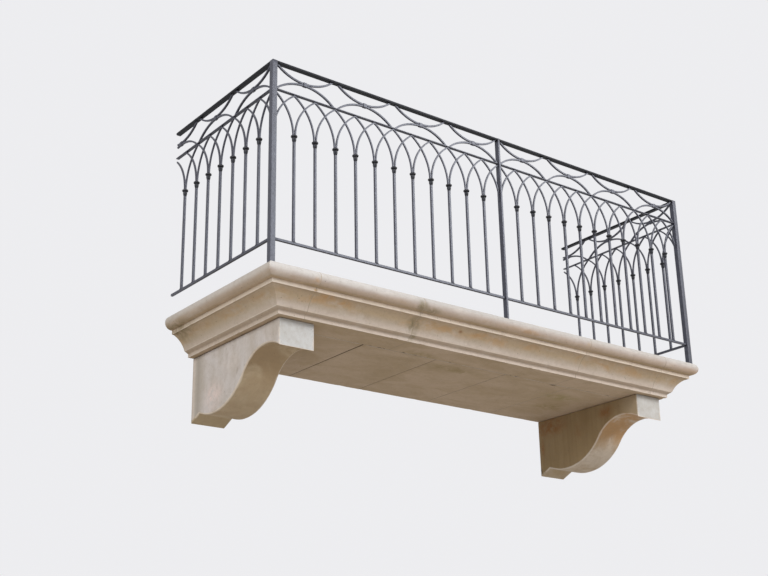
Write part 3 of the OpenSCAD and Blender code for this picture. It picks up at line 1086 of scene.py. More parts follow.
@dataclass
class Slab:
    """The moulded slab: two mitred end stones, three front stones, five floor stones and mortar.

    Sizes repeat those of the CAD source. Distances named in_ are measured in from the slab's
    outermost line, and heights down from its top. From gap on they are the dressing's own.
    sharp_bend is the least turn in degrees that counts as an arris. ease is the ripple's mean depth
    and its swing, wave its length, and back_band the strip at the wall that stays flat.
    """

    half_width: float = 1.425
    depth: float = 0.948
    thickness: float = 0.194
    top: float = 0.097
    roll_r: float = 0.036
    in_fillet: float = 0.040
    fillet_h: float = 0.020
    in_hollow: float = 0.050
    hollow_in: float = 0.062
    hollow_h: float = 0.072
    hollow_r: float = 0.120
    lip_drop: float = 0.012
    in_low_fillet: float = 0.133
    end_w: float = 0.274
    front_d: float = 0.293
    front_joints: tuple[float, float] = (-0.555, 0.565)
    floor_joints: tuple[float, ...] = (-0.704, -0.256, 0.212, 0.680)
    gap: float = 0.0008
    arris: float = 0.0022
    joint_arris: float = 0.0009
    step: float = 0.009
    floor_step: float = 0.03
    mortar_back: float = 0.0008
    mortar_half: float = 0.0012
    mortar_arris: float = 0.0005
    mortar_end: float = 0.001
    roll_points: int = 21
    hollow_points: int = 13
    sharp_bend: float = 22.0
    soft: float = 0.0002
    flank: float = 0.002
    ease: tuple[float, float] = (0.0006, 0.0003)
    wave: float = 0.09
    back_band: float = 0.004

    @property
    def end_joint(self) -> float:
        """How far from the middle the joints of the end stones are."""
        return self.half_width - self.end_w

    def edge_section(self, back: float) -> Section:
        """The moulded edge: x is the distance in, y the height from the top. The roll is a half
        circle, and the hollow an arc whose centre lies sqrt(r^2 - chord^2/4) off its chord.

        Args:
            back: the distance in at which it ends.

        Returns:
            The section, worn at its outer corners.
        """
        r, foot = self.roll_r, self.in_low_fillet
        roll = arc(np.array([r, -r]), r, np.linspace(math.pi / 2, 3 * math.pi / 2, self.roll_points))
        fillet_low = -2 * r - self.fillet_h
        lip = fillet_low - self.hollow_h
        chord = math.hypot(self.hollow_in, self.hollow_h)
        off = math.sqrt(self.hollow_r**2 - chord**2 / 4)
        centre = np.array([self.in_hollow + self.hollow_in / 2 - off * self.hollow_h / chord,
                           fillet_low - self.hollow_h / 2 - off * self.hollow_in / chord])
        first, last = (self.in_hollow, fillet_low), (self.in_hollow + self.hollow_in, lip)
        hollow = arc_between(centre, self.hollow_r, first, last, self.hollow_points)
        corners = np.array([(back, 0.0), *roll, (self.in_fillet, -2 * r), (self.in_fillet, fillet_low),
                            *hollow, (foot, lip - self.lip_drop), (foot, -self.thickness),
                            (back, -self.thickness)])
        before = corners - np.roll(corners, 1, axis=0)
        after = np.roll(corners, -1, axis=0) - corners
        cross = before[:, 0] * after[:, 1] - before[:, 1] * after[:, 0]
        bend = np.abs(np.arctan2(cross, np.sum(before * after, axis=1)))
        sharp = bend > math.radians(self.sharp_bend)
        outer = sharp & (cross > 0)
        return Section(corners, np.where(sharp, self.arris, self.soft), outer.astype(float), 2, self.flank)

    def _dressed(self, base: Array, inward: Array, edge: Array, seed: int) -> Array:
        """Sets the surface in by a ripple, then presses in the chips."""
        depth = self.ease[0] + self.ease[1] * ripple(base, self.wave, seed)
        return Chipping(seed).press(base + inward * depth[..., None], inward, edge)

    def _straight_stone(self, section: Section, ends: tuple[float, float], step: float, arris: float,
                        seed: int) -> Shell:
        """A section carried along X, with eased ends and a flat back at the wall.

        Args:
            section: over Y and Z.
            ends: its two joints along X.
            step: the grid's step along X.
            arris: how wide the eased ends are.
            seed: picks its unevenness and chips.

        Returns:
            The stone.
        """
        x0, x1 = ends[0] + self.gap, ends[1] - self.gap
        base, inward = extruded(section, stations(x1 - x0, step, arris), arris)
        base[..., 0] += x0
        made, y = self._dressed(base, inward, section.edge, seed), base[..., 1]
        made[..., 1] = np.where(y > -self.back_band, np.minimum(y, 0.0), made[..., 1])
        return grid_shell(made, section.edge)

    def front_stone(self, ends: tuple[float, float], seed: int) -> Shell:
        """A front stone: the moulded section between two joints."""
        section = self.edge_section(self.front_d - self.gap).moved(-self.depth, self.top)
        return self._straight_stone(section, ends, self.step, self.joint_arris, seed)

    def floor_stone(self, ends: tuple[float, float], seed: int) -> Shell:
        """A floor stone: an upright rectangle between two joints.

        Args:
            ends: its two joints along X.
            seed: picks its unevenness and chips.

        Returns:
            The stone.
        """
        front = -self.depth + self.front_d + self.gap
        section = oblong(-front, self.thickness, self.arris).moved(front / 2, self.top - self.thickness / 2)
        return self._straight_stone(section, ends, self.floor_step, self.arris, seed)

    def end_stone(self, mirrored: bool, seed: int) -> Shell:
        """The section carried round the corner. A point a metres in lies on the front leg at
        y = a - depth and on the side leg at x = a - half width. On the mitre both hold.

        Args:
            mirrored: whether it is the right one.
            seed: picks its unevenness and chips.

        Returns:
            The stone.
        """
        section = self.edge_section(self.end_w - self.gap)
        # Along the front leg from 0 at the joint to 1 on the mitre, closest where the arris is eased
        share = np.concatenate([[0.0, 0.003, 0.008], np.linspace(0.02, 1, 27)])
        joint_x = -self.half_width + self.end_w - self.gap
        depth = self.joint_arris * np.clip(1 - share * self.end_w / self.joint_arris, 0, 1) ** 2
        flat = np.stack([section.inset(d).points for d in depth])
        a, h = section.points.T
        share = share[:, None]
        front = np.stack([joint_x * (1 - share) + (-self.half_width + flat[..., 0]) * share,
                          -self.depth + flat[..., 0], self.top + flat[..., 1]], axis=-1)
        back = stations(1.0, 0.010, 0.002)[1:, None]
        side = np.stack(np.broadcast_arrays(-self.half_width + a, (-self.depth + a) * (1 - back),
                                            self.top + h), axis=-1)
        base = np.concatenate([front, side])
        inward = np.zeros_like(base)
        inward[:len(front), :, 1] = section.inward[:, 0]
        inward[len(front) - 1:, :, 0] = section.inward[:, 0]
        inward[..., 2] = section.inward[:, 1]
        made = self._dressed(base, inward, section.edge, seed)
        made[..., 1] = np.minimum(made[..., 1], 0.0)
        made[-1, :, 1] = 0.0
        if mirrored:
            made[..., 0] *= -1
        return grid_shell(made, section.edge)

    def mortar(self) -> Shell:
        """Mortar in the joints: thin plates set back behind the arrises.

        Returns:
            All the plates.
        """
        lean, front, middle = self.mortar_half, -self.depth + self.front_d, self.top - self.thickness / 2
        edge = self.edge_section(self.front_d).inset(self.mortar_back).moved(-self.depth, self.top)
        plate = oblong(2 * lean, self.thickness - 2 * self.mortar_back, self.mortar_arris)
        end = self.end_joint
        plates = [swept(edge, np.array([[x - lean, 0, 0], [x + lean, 0, 0]]), Y_AXIS, Z_AXIS)
                  for x in (-end, *self.front_joints, end)]
        plates += [swept(plate, np.array([[x, front, middle], [x, -self.mortar_end, middle]]), X_AXIS, Z_AXIS)
                   for x in (-end, *self.floor_joints, end)]
        path = np.array([[-end, front, middle], [end, front, middle]])
        return joined([*plates, swept(plate, path, Y_AXIS, Z_AXIS)])

    def build(self, stone: Coat, mortar: Coat) -> None:
        """Makes the ten stones and the mortar.

        Args:
            stone: what the stones wear.
            mortar: what the joints wear.
        """
        end = self.end_joint
        made = [(f"moulded_end_stone_{way}", self.end_stone(way == "right", END_SEED + k), f"{way}_end_stone")
                for k, way in enumerate(("left", "right"))]
        joints = (-end, *self.front_joints, end)
        for k, way in enumerate(("left", "middle", "right")):
            shell = self.front_stone(joints[k:k + 2], FRONT_SEED + k)
            made.append((f"moulded_front_stone_{way}", shell, f"front_stone_{way}"))
        joints = (-end, *self.floor_joints, end)
        for k in range(len(joints) - 1):
            shell = self.floor_stone(joints[k:k + 2], FLOOR_SEED + k)
            made.append((f"paving_stone_{k + 1}", shell, f"floor_stone_{k + 1}"))
        order = np.random.default_rng(TONE_SEED).permutation(len(made))
        for (name, shell, node), place in zip(made, order):
            put_in_scene(name, shell, stone, node, tone=place / (len(made) - 1))
        put_in_scene("joint_mortar", self.mortar(), mortar)


@dataclass
class Corbels:
    """The two scrolled corbels.

    Sizes repeat those of the CAD source. From arris on they are the dressing's own: ring_in is how
    far inside the arris the side faces' rings lie, built_in the width along the wall and the slab
    that doesn't wear, and clear how far the hollow's points keep from the front's lower corner.
    ease, wave and back_band are as for the slab.
    """

    inner_x: float = 1.075
    width: float = 0.188
    reach: float = 0.780
    top: float = -0.097
    cove_back: float = 0.122
    cove_top: float = 0.095
    cove_r: float = 0.230
    belly_y: float = 0.210
    belly_low: float = 0.319
    cusp_y: float = 0.078
    heel_low: float = 0.326
    arris: float = 0.004
    ring_in: float = 0.005
    built_in: float = 0.012
    cove_points: int = 42
    belly_points: int = 46
    clear: float = 0.020
    soft: float = 0.0004
    step: float = 0.008
    ease: tuple[float, float] = (0.0007, 0.0005)
    wave: float = 0.07
    back_band: float = 0.002

    def side_view(self) -> Section:
        """Side view, x towards the wall and y up. A hollow arc runs on into the scroll's round belly
        and touches it where the line between their centres meets both. Near the front's lower
        corner the hollow has no points, so that the arris can round it.

        Returns:
            The section, worn at its three free corners.
        """
        run, drop = self.reach - self.cove_back - self.belly_y, self.belly_low - self.cove_top
        radii = (run**2 + drop**2) / (2 * drop)
        belly_r = radii - self.cove_r
        cove = np.array([-(self.reach - self.cove_back), -self.cove_top - self.cove_r])
        belly = np.array([-self.belly_y, -self.belly_low + belly_r])
        touch = cove + (belly - cove) * self.cove_r / radii
        front = (-self.reach, cove[1] + math.sqrt(self.cove_r**2 - self.cove_back**2))
        cusp = (-self.cusp_y, belly[1] - math.sqrt(belly_r**2 - (self.belly_y - self.cusp_y) ** 2))
        hollow = arc_between(cove, self.cove_r, front, touch, self.cove_points)
        far = np.linalg.norm(hollow - hollow[0], axis=1)
        hollow = hollow[(far == 0) | (far > self.clear)]
        scroll = arc_between(belly, belly_r, touch, cusp, self.belly_points)[1:]
        corners = np.concatenate([[[0, 0], [-self.reach, 0]], hollow, scroll, [[0, -self.heel_low]]])
        sharp = np.zeros(len(corners))
        sharp[[1, 2, -2]] = 1
        return Section(corners, np.where(sharp > 0, self.arris, self.soft), sharp, 2)

    def corbel(self, mirrored: bool, seed: int) -> Shell:
        """The side view carried across the width, its side arrises eased. Each side face has a
        ring of its own, set in from the arris, so that wear stays on the arris.

        Args:
            mirrored: whether it is the left one.
            seed: picks its unevenness and chips.

        Returns:
            The corbel.
        """
        section = self.side_view().moved(0.0, self.top)
        at = stations(self.width, self.step, self.arris)
        base, inward = extruded(section, at, self.arris)
        rings = base[[0, -1]].copy()
        rings[..., 1:] = section.inset(self.arris + self.ring_in).points
        base = np.concatenate([rings[:1], base, rings[1:]])
        inward = np.concatenate([inward[:1], inward, inward[-1:]])
        base[..., 0] += self.inner_x
        base[..., 1] = np.minimum(base[..., 1], 0.0)
        y, z = base[..., 1], base[..., 2]
        depth = self.ease[0] + self.ease[1] * ripple(base, self.wave, seed)
        chipping = Chipping(seed, density=2.0, radius=(0.008, 0.024), depth=(0.001, 0.004))
        made = chipping.press(base + inward * depth[..., None], inward, np.ones(len(section.points)))
        made[..., 1] = np.where(y > -self.back_band, y, np.minimum(made[..., 1], 0.0))
        if mirrored:
            made[..., 0] *= -1
        worn = np.minimum(at, self.width - at) < self.arris + 1e-4
        rim = np.concatenate([[0.0], worn, [0.0]])[:, None]
        sheltered = (z > self.top - self.built_in) | (y > -self.built_in)
        edge = np.where(sheltered, 0.0, np.maximum(section.edge[None], rim))
        edge[[0, -1]] = 0.0
        return grid_shell(made, edge)

    def build(self, stone: Coat) -> None:
        """Makes both corbels.

        Args:
            stone: what they wear.
        """
        for k, (way, tone) in enumerate((("left", 0.3), ("right", 0.6))):
            shell = self.corbel(way == "left", CORBEL_SEED + k)
            put_in_scene(f"scrolled_corbel_{way}", shell, stone, f"{way}_corbel", tone=tone)


# Ironwork


class Panel(Enum):
    """The railing's four panels, each with its node suffix."""

    FRONT_LEFT = "front_left"
    FRONT_RIGHT = "front_right"
    LEFT_SIDE = "left_side"
    RIGHT_SIDE = "right_side"

    @property
    def side(self) -> bool:
        """Whether the panel runs from a corner to the wall."""
        return self in (Panel.LEFT_SIDE, Panel.RIGHT_SIDE)


@dataclass
class Railing:
    """What all ironwork shares: the layout, levels and the panels' frames. A panel's own frame has x
    along the railing from a post's centre line, y across it and z up from the floor.
    """

    bay: float = 1.394
    reach: float = 0.910
    floor: float = 0.097
    spaces: int = 12
    side_bars: int = 7
    half_corner: float = 0.0135
    half_middle: float = 0.0055
    middle_depth: float = 0.028
    socket: float = 0.040
    handrail_top: float = 1.000
    handrail_base: float = 0.988
    handrail_under: float = 0.023
    upper_rail: tuple[float, float] = (0.8525, 0.8575)
    lower_rail: tuple[float, float] = (0.104, 0.116)
    upper_depth: float = 0.018
    lower_depth: float = 0.012
    upright: float = 0.012
    collar_mid: float = 0.628
    collar_h: float = 0.033
    kiss: float = 0.926

    @property
    def spacing(self) -> float:
        """Distance between neighbouring uprights."""
        return self.bay / self.spaces

    def ends(self, panel: Panel) -> tuple[float, float]:
        """Where a panel's bars begin and end along its x.

        Args:
            panel: which panel.

        Returns:
            Both places.
        """
        front = {Panel.FRONT_LEFT: (self.half_corner, self.bay - self.half_middle),
                 Panel.FRONT_RIGHT: (self.half_middle, self.bay - self.half_corner)}
        return front.get(panel, (self.half_corner, self.reach))

    def upright_places(self, panel: Panel) -> Array:
        """The uprights' places along the panel's x."""
        count = self.side_bars if panel.side else self.spaces - 1
        return np.arange(1, count + 1) * self.spacing

    def placed(self, bars: list[Shell], panel: Panel) -> Shell:
        """A panel's bars as one shell, cut off at the wall and set in the part's frame.

        Args:
            bars: in the panel's own frame.
            panel: which panel.

        Returns:
            The shell.
        """
        made, matrix = joined(bars), np.eye(4)
        corner = {Panel.FRONT_RIGHT: 0.0, Panel.RIGHT_SIDE: self.bay}.get(panel, -self.bay)
        matrix[:3, 3] = (corner, -self.reach, self.floor)
        if panel.side:
            matrix[:2, :2] = [[0, -1], [1, 0]]
            made.points[:, 0] = np.minimum(made.points[:, 0], self.reach)
        return made.moved(matrix)


@dataclass
class ForgedBars:
    """Posts, rails, uprights and collars of the railing.

    Attributes:
        railing: the shared layout.
        post_round, rail_round, upright_round, weld_round: rounding of each kind of bar.
        post_forging, rail_forging, upright_forging: step along it and share of unevenness.
        swing: the part of the unevenness that swells and shrinks.
        wave: the shortest swelling's length.
        end_lip, end_cut: how long the eased ends are, and how much they shrink.
        lap: how far a rail is let into a post.
        sink: how far an upright runs into the lower rail and into its collar.
        handrail_t: the handrail's thickness.
        handrail_sides: where its upright sides begin and end, as shares of the thickness.
        handrail_ease, handrail_round, handrail_flank: its eased top edges, rounding and wear.
        weld_up, weld_swell: levels over a weld's foot, and how wide it is at each.
        collar_points: points round a collar.
        collar: radius and height from low to high: a swelling bead, a groove and a ring.
    """

    railing: Railing
    post_round: float = 0.0016
    rail_round: float = 0.0014
    upright_round: float = 0.0013
    weld_round: float = 0.0022
    post_forging: tuple[float, float] = (0.018, 0.006)
    rail_forging: tuple[float, float] = (0.02, 0.008)
    upright_forging: tuple[float, float] = (0.022, 0.016)
    swing: float = 0.8
    wave: float = 0.035
    end_lip: float = 0.0012
    end_cut: float = 0.08
    lap: float = 0.0015
    sink: float = 0.001
    handrail_t: float = 0.012
    handrail_sides: tuple[float, float] = (0.6, 0.85)
    handrail_ease: float = 0.003
    handrail_round: float = 0.0008
    handrail_flank: float = 0.0007
    weld_up: tuple[float, ...] = (0.0, 0.0016, 0.0034)
    weld_swell: tuple[float, ...] = (1.42, 1.30, 1.02)
    collar_points: int = 28
    collar: tuple[tuple[float, float], ...] = (
        (0.0060, 0.0000), (0.0074, 0.0001), (0.0082, 0.0022), (0.0093, 0.0062), (0.0101, 0.0102),
        (0.0105, 0.0140), (0.0105, 0.0176), (0.0101, 0.0196), (0.0092, 0.0203), (0.0082, 0.0206),
        (0.0080, 0.0220), (0.0083, 0.0236), (0.0112, 0.0240), (0.0140, 0.0245), (0.0151, 0.0260),
        (0.0155, 0.0285), (0.0153, 0.0310), (0.0143, 0.0326), (0.0110, 0.0330), (0.0050, 0.0331))

    def _bar(self, section: Section, start: Point, end: Point, seed: int, step: float,
             uneven: float) -> Shell:
        """A straight bar whose section swells and shrinks a little, as under the hammer.

        Args:
            section: over x and y if the bar is upright, else over y and z.
            start: one end of its middle line.
            end: the other end.
            seed: picks the unevenness.
            step: the grid's step along it.
            uneven: how much it swells, as a share.

        Returns:
            The bar.
        """
        start, end = np.array(start), np.array(end)
        side, up = (X_AXIS, Y_AXIS) if start[0] == end[0] else (Y_AXIS, Z_AXIS)
        length = float(np.linalg.norm(end - start))
        at = stations(length, step)
        path = start + (end - start) * (at / length)[:, None]
        swell = 1 - uneven + uneven * self.swing * ripple(path, self.wave, seed)
        return swept(section, path, side, up, swell * eased(at, length, self.end_lip, self.end_cut))

    def posts(self) -> list[tuple[str, Shell]]:
        """Three upright posts, let into the stone, with eased corners and tops.

        Returns:
            Each post's name and shell.
        """
        r = self.railing
        low, high = r.floor - r.socket, r.floor + r.handrail_top
        rows = (("left_corner", -r.bay, r.half_corner, 2 * r.half_corner),
                ("middle", 0.0, r.half_middle, r.middle_depth),
                ("right_corner", r.bay, r.half_corner, 2 * r.half_corner))
        made = []
        for k, (name, x, half, depth) in enumerate(rows):
            bar = self._bar(oblong(2 * half, depth, self.post_round), (x, -r.reach, low),
                            (x, -r.reach, high), POST_SEED + k, *self.post_forging)
            made.append((f"{name}_post", bar))
        return made

    def handrail_section(self) -> Section:
        """Flat top with eased edges, sides sloping in to a narrower underside.

        Returns:
            The section, worn all round.
        """
        w, u, t = self.railing.half_corner, self.railing.handrail_under / 2, self.handrail_t
        ease, (low, high) = self.handrail_ease, self.handrail_sides
        corners = np.array([[-u, 0], [u, 0], [w, t * low], [w, t * high], [w - ease, t], [ease - w, t],
                            [-w, t * high], [-w, t * low]])
        return polygon_section(corners, self.handrail_round, 2, self.handrail_flank)

    def rails(self, panel: Panel) -> list[tuple[str, Shell]]:
        """A panel's three rails, their ends let a hair into the posts.

        Args:
            panel: which panel.

        Returns:
            Each rail's name and shell.
        """
        r = self.railing
        x0, x1 = r.ends(panel)
        x0, x1 = x0 - self.lap, (x1 if panel.side else x1 + self.lap)
        rows = [("handrail", self.handrail_section(), r.handrail_base)]
        for name, depth, (low, high) in (("upper_rail", r.upper_depth, r.upper_rail),
                                         ("lower_rail", r.lower_depth, r.lower_rail)):
            rows.append((name, oblong(depth, high - low, self.rail_round), (low + high) / 2))
        made = []
        for k, (name, section, z) in enumerate(rows):
            seed = RAIL_SEED + 5 * list(Panel).index(panel) + k
            bar = self._bar(section, (x0, 0, z), (x1, 0, z), seed, *self.rail_forging)
            bar.points[:, 2] = np.minimum(bar.points[:, 2], r.handrail_top)
            made.append((f"{name}_{panel.value}", r.placed([bar], panel)))
        return made

    def uprights(self, panel: Panel) -> Shell:
        """A panel's square uprights, each with a small weld at its foot.

        Args:
            panel: which panel.

        Returns:
            Its uprights.
        """
        r = self.railing
        low, high = r.lower_rail[1] - self.sink, r.collar_mid - r.collar_h / 2 + self.sink
        shaft, weld = (oblong(r.upright, r.upright, radius, 2)
                       for radius in (self.upright_round, self.weld_round))
        bars = []
        for k, x in enumerate(r.upright_places(panel)):
            bars.append(self._bar(shaft, (x, 0, low), (x, 0, high), UPRIGHT_SEED + k, *self.upright_forging))
            foot = np.array([[x, 0, low + up] for up in self.weld_up])
            bars.append(swept(weld, foot, X_AXIS, Y_AXIS, np.array(self.weld_swell)))
        return r.placed(bars, panel)

    def collars(self, panel: Panel) -> Shell:
        """A panel's turned collars: the profile revolved round each upright, as
        P = (r cos t, r sin t, z). Its ring wears, and its bead a little.

        Args:
            panel: which panel.

        Returns:
            Its collars.
        """
        r = self.railing
        radius, height = np.array(self.collar).T[..., None]
        bead_r, bead_band, bead_wear, ring_r, ring_band = 0.0104, 0.0003, 0.6, 0.0152, 0.0005
        turn = np.linspace(0, 2 * math.pi, self.collar_points, endpoint=False)
        ring = np.stack(np.broadcast_arrays(radius * np.cos(turn), radius * np.sin(turn), height), axis=-1)
        bead = np.where(np.abs(radius - bead_r) < bead_band, bead_wear, 0.0)
        edge = np.where(np.abs(radius - ring_r) < ring_band, 1.0, bead)
        base = r.collar_mid - r.collar_h / 2
        made = [grid_shell(ring + np.array([x, 0, base]), edge) for x in r.upright_places(panel)]
        return r.placed(made, panel)

    def build(self, painted: Coat, worn: Coat, cast: Coat) -> None:
        """Makes the posts, rails, uprights and collars.

        Args:
            painted: what posts, rails and uprights wear.
            worn: what the handrail wears.
            cast: what the collars wear.
        """
        for name, shell in self.posts():
            put_in_scene(f"forged_{name}", shell, painted, name)
        for panel in Panel:
            for name, shell in self.rails(panel):
                put_in_scene(f"forged_{name}", shell, worn if name.startswith("handrail") else painted, name)
            way = panel.value
            put_in_scene(f"forged_uprights_{way}", self.uprights(panel), painted, f"uprights_{way}")
            put_in_scene(f"turned_collars_{way}", self.collars(panel), cast, f"collars_{way}")


@dataclass
class Tracery:
    """The interlaced pointed arches and the frieze of opposed arcs over them.

    The bars' sizes are in the panel's plane and across it. Bars that lean to the left are less deep
    by thinner, and all run into what they touch by tuck. A pair of arcs takes per_unit spaces. swell
    is a bar's mean scale and its swing, and wave the shortest swelling's length.
    """

    railing: Railing
    bar: float = 0.008
    depth: float = 0.009
    thinner: float = 0.0005
    spring_off: float = 0.005
    tuck: float = 0.002
    arc_r: float = 0.240
    arc_bar: float = 0.009
    arc_depth: float = 0.010
    clip_w: float = 0.022
    clip_t: float = 0.002
    per_unit: int = 3
    bar_round: float = 0.0012
    clip_round: float = 0.0022
    swell: tuple[float, float] = (0.985, 0.014)
    wave: float = 0.03
    arch_points: int = 26
    arc_points: int = 44

    def _bent(self, centre: Point, radius: float, angles: Array, section: Section, seed: int) -> Shell:
        """A bar bent to an arc in the panel's plane: its middle line is centre + radius (cos t, 0, sin t).

        Args:
            centre: the arc's centre.
            radius: its radius.
            angles: the stations t along it.
            section: in the plane and across it.
            seed: picks the unevenness.

        Returns:
            The bar.
        """
        out = np.stack([np.cos(angles), np.zeros_like(angles), np.sin(angles)], axis=1)
        path = np.array(centre) + radius * out
        swell = self.swell[0] + self.swell[1] * ripple(path, self.wave, seed)
        return swept(section, path, out, Y_AXIS, swell)

    def arches(self, panel: Panel) -> Shell:
        """From each springing point a bar goes either way and meets the upper rail one spacing on.
        Its arc starts upright, so its radius is (run^2 + rise^2) / (2 run). At the wall the last
        bar stops short.

        Args:
            panel: which panel.

        Returns:
            Its arches.
        """
        r, side = self.railing, panel.side
        spring = r.collar_mid + r.collar_h / 2
        rise, run = r.upper_rail[0] - spring, r.spacing - self.spring_off
        radius = (run**2 + rise**2) / (2 * run)
        full = math.asin(min(1.0, (rise + self.tuck) / radius))
        level = spring - self.tuck
        deep, thin = (oblong(self.bar, depth, self.bar_round, 2)
                      for depth in (self.depth, self.depth - self.thinner))
        last = r.side_bars if side else r.spaces
        bars = []
        for k in range(last + 1):
            if k < last or side:
                start = k * r.spacing + self.spring_off
                reach = math.acos(max(-1.0, 1 - (r.reach - start) / radius)) if k == last else full
                turn = np.linspace(math.pi, math.pi - min(full, reach), self.arch_points)
                bars.append(self._bent((start + radius, 0, level), radius, turn, deep, RIGHT_ARCH_SEED + k))
            if k > 0:
                start = k * r.spacing - self.spring_off
                turn = np.linspace(0, full, self.arch_points)
                bars.append(self._bent((start - radius, 0, level), radius, turn, thin, LEFT_ARCH_SEED + k))
        return r.placed(bars, panel)

    def _clip(self, middle: float) -> Shell:
        """The clip that holds a pair of arcs where they touch.

        Args:
            middle: its place along the panel's x.

        Returns:
            The clip.
        """
        step, lip, eased_lip, eased_cut = 0.004, 0.0014, 0.003, 0.10
        at = stations(self.clip_w, step, lip) - self.clip_w / 2
        path = np.stack([middle + at, np.zeros_like(at), np.full_like(at, self.railing.kiss)], axis=1)
        width, height = self.arc_depth + 2 * self.clip_t, 2 * self.arc_bar + 2 * self.clip_t
        swell = eased(at + self.clip_w / 2, self.clip_w, eased_lip, eased_cut)
        return swept(oblong(width, height, self.clip_round), path, Y_AXIS, Z_AXIS, swell)

    def frieze(self, panel: Panel) -> Shell:
        """Pairs of arcs back to back. The upper one sags from the handrail, the lower one rises
        from the upper rail, and a clip holds them where they touch.

        Args:
            panel: which panel.

        Returns:
            Its arcs and clips.
        """
        r, unit_w = self.railing, self.railing.spacing * self.per_unit
        end = r.ends(panel)[1]
        count = math.ceil(r.reach / unit_w) if panel.side else r.spaces // self.per_unit
        offset = self.arc_r + self.arc_bar / 2
        section = oblong(self.arc_bar, self.arc_depth, self.bar_round, 2)
        bars = []
        for k in range(count):
            middle = (k + 0.5) * unit_w
            for way, drop in ((1, r.handrail_base - r.kiss), (-1, r.kiss - r.upper_rail[1])):
                half = stop = math.acos((offset - drop - self.tuck) / self.arc_r)
                if panel.side and middle + self.arc_r * math.sin(half) > end:
                    stop = math.asin((end - middle) / self.arc_r)
                angles = -way * math.pi / 2 + way * np.linspace(-half, stop, self.arc_points)
                bars.append(self._bent((middle, 0, r.kiss + way * offset), self.arc_r, angles, section,
                                       FRIEZE_SEED + 3 * k + way))
            if middle + self.clip_w / 2 < end:
                bars.append(self._clip(middle))
        return r.placed(bars, panel)

    def build(self, painted: Coat) -> None:
        """Makes the arches and the frieze of every panel.

        Args:
            painted: what they wear.
        """
        for panel in Panel:
            for name, shell in (("arches", self.arches(panel)), ("frieze", self.frieze(panel))):
                put_in_scene(f"bent_{name}_{panel.value}", shell, painted, f"{name}_{panel.value}")


# Studio


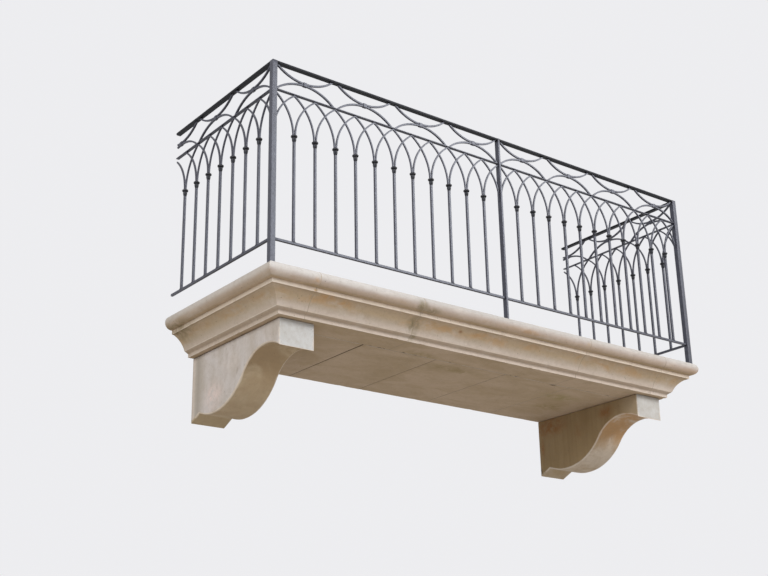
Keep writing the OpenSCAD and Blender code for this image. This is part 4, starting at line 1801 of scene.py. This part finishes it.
@dataclass
class Studio:
    """Camera, floor, lamps and world.

    Attributes:
        camera_at: its place, solved from points of the photograph.
        azimuth: its direction round the part in degrees.
        elevation: its height over the part in degrees.
        roll: its tilt in degrees.
        focal_px: focal length in pixels of a picture PHOTO_WIDTH wide.
        sensor: width of the sensor in millimetres.
        floor_z: level of the ground.
        floor_half: half the ground's width.
        background: the pale colour round the part.
        even: share of the ground that is plainly pale.
    """

    camera_at: Point = (-4.1348, -5.25743, -1.90582)
    azimuth: float = -37.7200
    elevation: float = -20.0629
    roll: float = -1.0894
    focal_px: float = 1257.08
    sensor: float = 36.0
    floor_z: float = -3.4
    floor_half: float = 60.0
    background: Colour = (0.93, 0.93, 0.94)
    even: float = 0.7

    @staticmethod
    def shown_rays(g: Graph, path: Sockets) -> Socket:
        """1 for the rays that show the background: from the camera, reflected or passed through."""
        seen = g.math("MAXIMUM", path["Is Camera Ray"], path["Is Glossy Ray"])
        return g.math("MAXIMUM", seen, path["Is Transmission Ray"])

    def camera(self) -> None:
        """Sets the camera: it looks along -b, where b = (sin a cos e, -cos a cos e, sin e)."""
        a, e, r = (math.radians(v) for v in (self.azimuth, self.elevation, self.roll))
        back = np.array([math.sin(a) * math.cos(e), -math.cos(a) * math.cos(e), math.sin(e)])
        right = unit(np.cross(-back, Z_AXIS))
        up = np.cross(right, -back)
        axes = np.stack([math.cos(r) * right + math.sin(r) * up, math.cos(r) * up - math.sin(r) * right,
                         back], axis=1)
        lens = bpy.data.cameras.new("view")
        lens.sensor_width = self.sensor
        lens.lens = self.sensor * self.focal_px / PHOTO_WIDTH
        lens.clip_end = 200.0
        camera = add_object("view", lens)
        camera.matrix_world = Matrix([[*axes[i], self.camera_at[i]] for i in range(3)] + [[0, 0, 0, 1]])
        bpy.context.scene.camera = camera

    def floor(self) -> None:
        """A wide pale floor. Most of what the camera and reflections see of it is an even pale
        colour, so that it stays plain far from the lamps, and the rest keeps the shadow. From
        below the camera sees through it.
        """
        size, material = self.floor_half, bpy.data.materials.new("ground")
        mesh = bpy.data.meshes.new("ground")
        corners = [(x * size, y * size, self.floor_z) for x, y in ((-1, -1), (1, -1), (1, 1), (-1, 1))]
        mesh.from_pydata(corners, [], [(0, 1, 2, 3)])
        g = emptied(material)
        path = g.put("LightPath").outputs
        matt = g.put("BsdfDiffuse", {"Color": (0.78, 0.76, 0.73)}).outputs[0]
        even = g.put("Emission", {"Color": self.background}).outputs[0]
        share = g.both(self.shown_rays(g, path), self.even)
        pale = g.put("MixShader", {0: share, 1: matt, 2: even}).outputs[0]
        under = g.both(path["Is Camera Ray"], g.put("NewGeometry").outputs["Backfacing"])
        clear = g.put("BsdfTransparent").outputs[0]
        both = g.put("MixShader", {0: under, 1: pale, 2: clear}).outputs[0]
        g.put("OutputMaterial", {"Surface": both})
        mesh.materials.append(material)
        ground = add_object("ground", mesh)

    @staticmethod
    def lamp(name: str, at: Point, aim: Point, size: float, watts: float, colour: Colour) -> None:
        """Adds a square lamp.

        Args:
            name: its name.
            at: its place.
            aim: what it points at.
            size: its width.
            watts: its power.
            colour: the light's colour.
        """
        data = bpy.data.lights.new(name, "AREA")
        data.size, data.energy, data.color = size, watts, colour
        back = Vector(at) - Vector(aim)
        turned = back.to_track_quat("Z", "Y").to_matrix().to_4x4()
        add_object(name, data).matrix_world = Matrix.Translation(at) @ turned

    def world(self) -> None:
        """Soft bluish light from all round, with a plain pale background in front of it."""
        world = bpy.data.worlds.new("studio")
        g = emptied(world)
        seen = self.shown_rays(g, g.put("LightPath").outputs)
        light = g.put("Background", {"Color": (0.94, 0.96, 1.0), "Strength": 0.5}).outputs[0]
        shown = g.put("Background", {"Color": self.background, "Strength": 1.0}).outputs[0]
        both = g.put("MixShader", {0: seen, 1: light, 2: shown}).outputs[0]
        g.put("OutputWorld", {"Surface": both})
        bpy.context.scene.world = world

    def build(self) -> None:
        """Sets up everything round the part."""
        bpy.context.scene.view_settings.view_transform = "Standard"
        self.camera()
        self.floor()
        self.lamp("key", (5.5, -8.5, 5.0), (0.0, -0.5, 0.3), 5.0, 840.0, (1.0, 0.985, 0.96))
        self.lamp("fill", (-9.5, -4.5, 3.5), (0.0, -0.5, 0.2), 6.0, 600.0, (0.96, 0.98, 1.0))
        self.world()


def main() -> None:
    """Builds the finishes, the stonework, the ironwork and the studio in order."""
    logging.basicConfig(level=logging.INFO, format="%(name)s: %(message)s")
    effects = Effects()
    painted = Coat(PAINTED_IRON.build(effects), "painted_iron")
    worn = Coat(WORN_IRON.build(effects), "worn_iron")
    cast = Coat(COLLAR_IRON.build(effects), "collar_iron", 50.0)
    slab_finish = StoneFinish("weathered slab limestone with painted shade", StonePart.SLAB, SLAB_STAINS)
    corbel_finish = StoneFinish("weathered corbel limestone with painted light", StonePart.CORBEL, CORBEL_STAINS)
    slab_stone = Coat(slab_finish.build(effects), "slab_stone", 32.0)
    corbel_stone = Coat(corbel_finish.build(effects), "corbel_stone", 34.0)
    mortar = Coat(MortarFinish("lime mortar").build(effects), "slab_stone")
    Slab().build(slab_stone, mortar)
    Corbels().build(corbel_stone)
    railing = Railing()
    ForgedBars(railing).build(painted, worn, cast)
    Tracery(railing).build(painted)
    Studio().build()


if __name__ == "__main__":
    main()
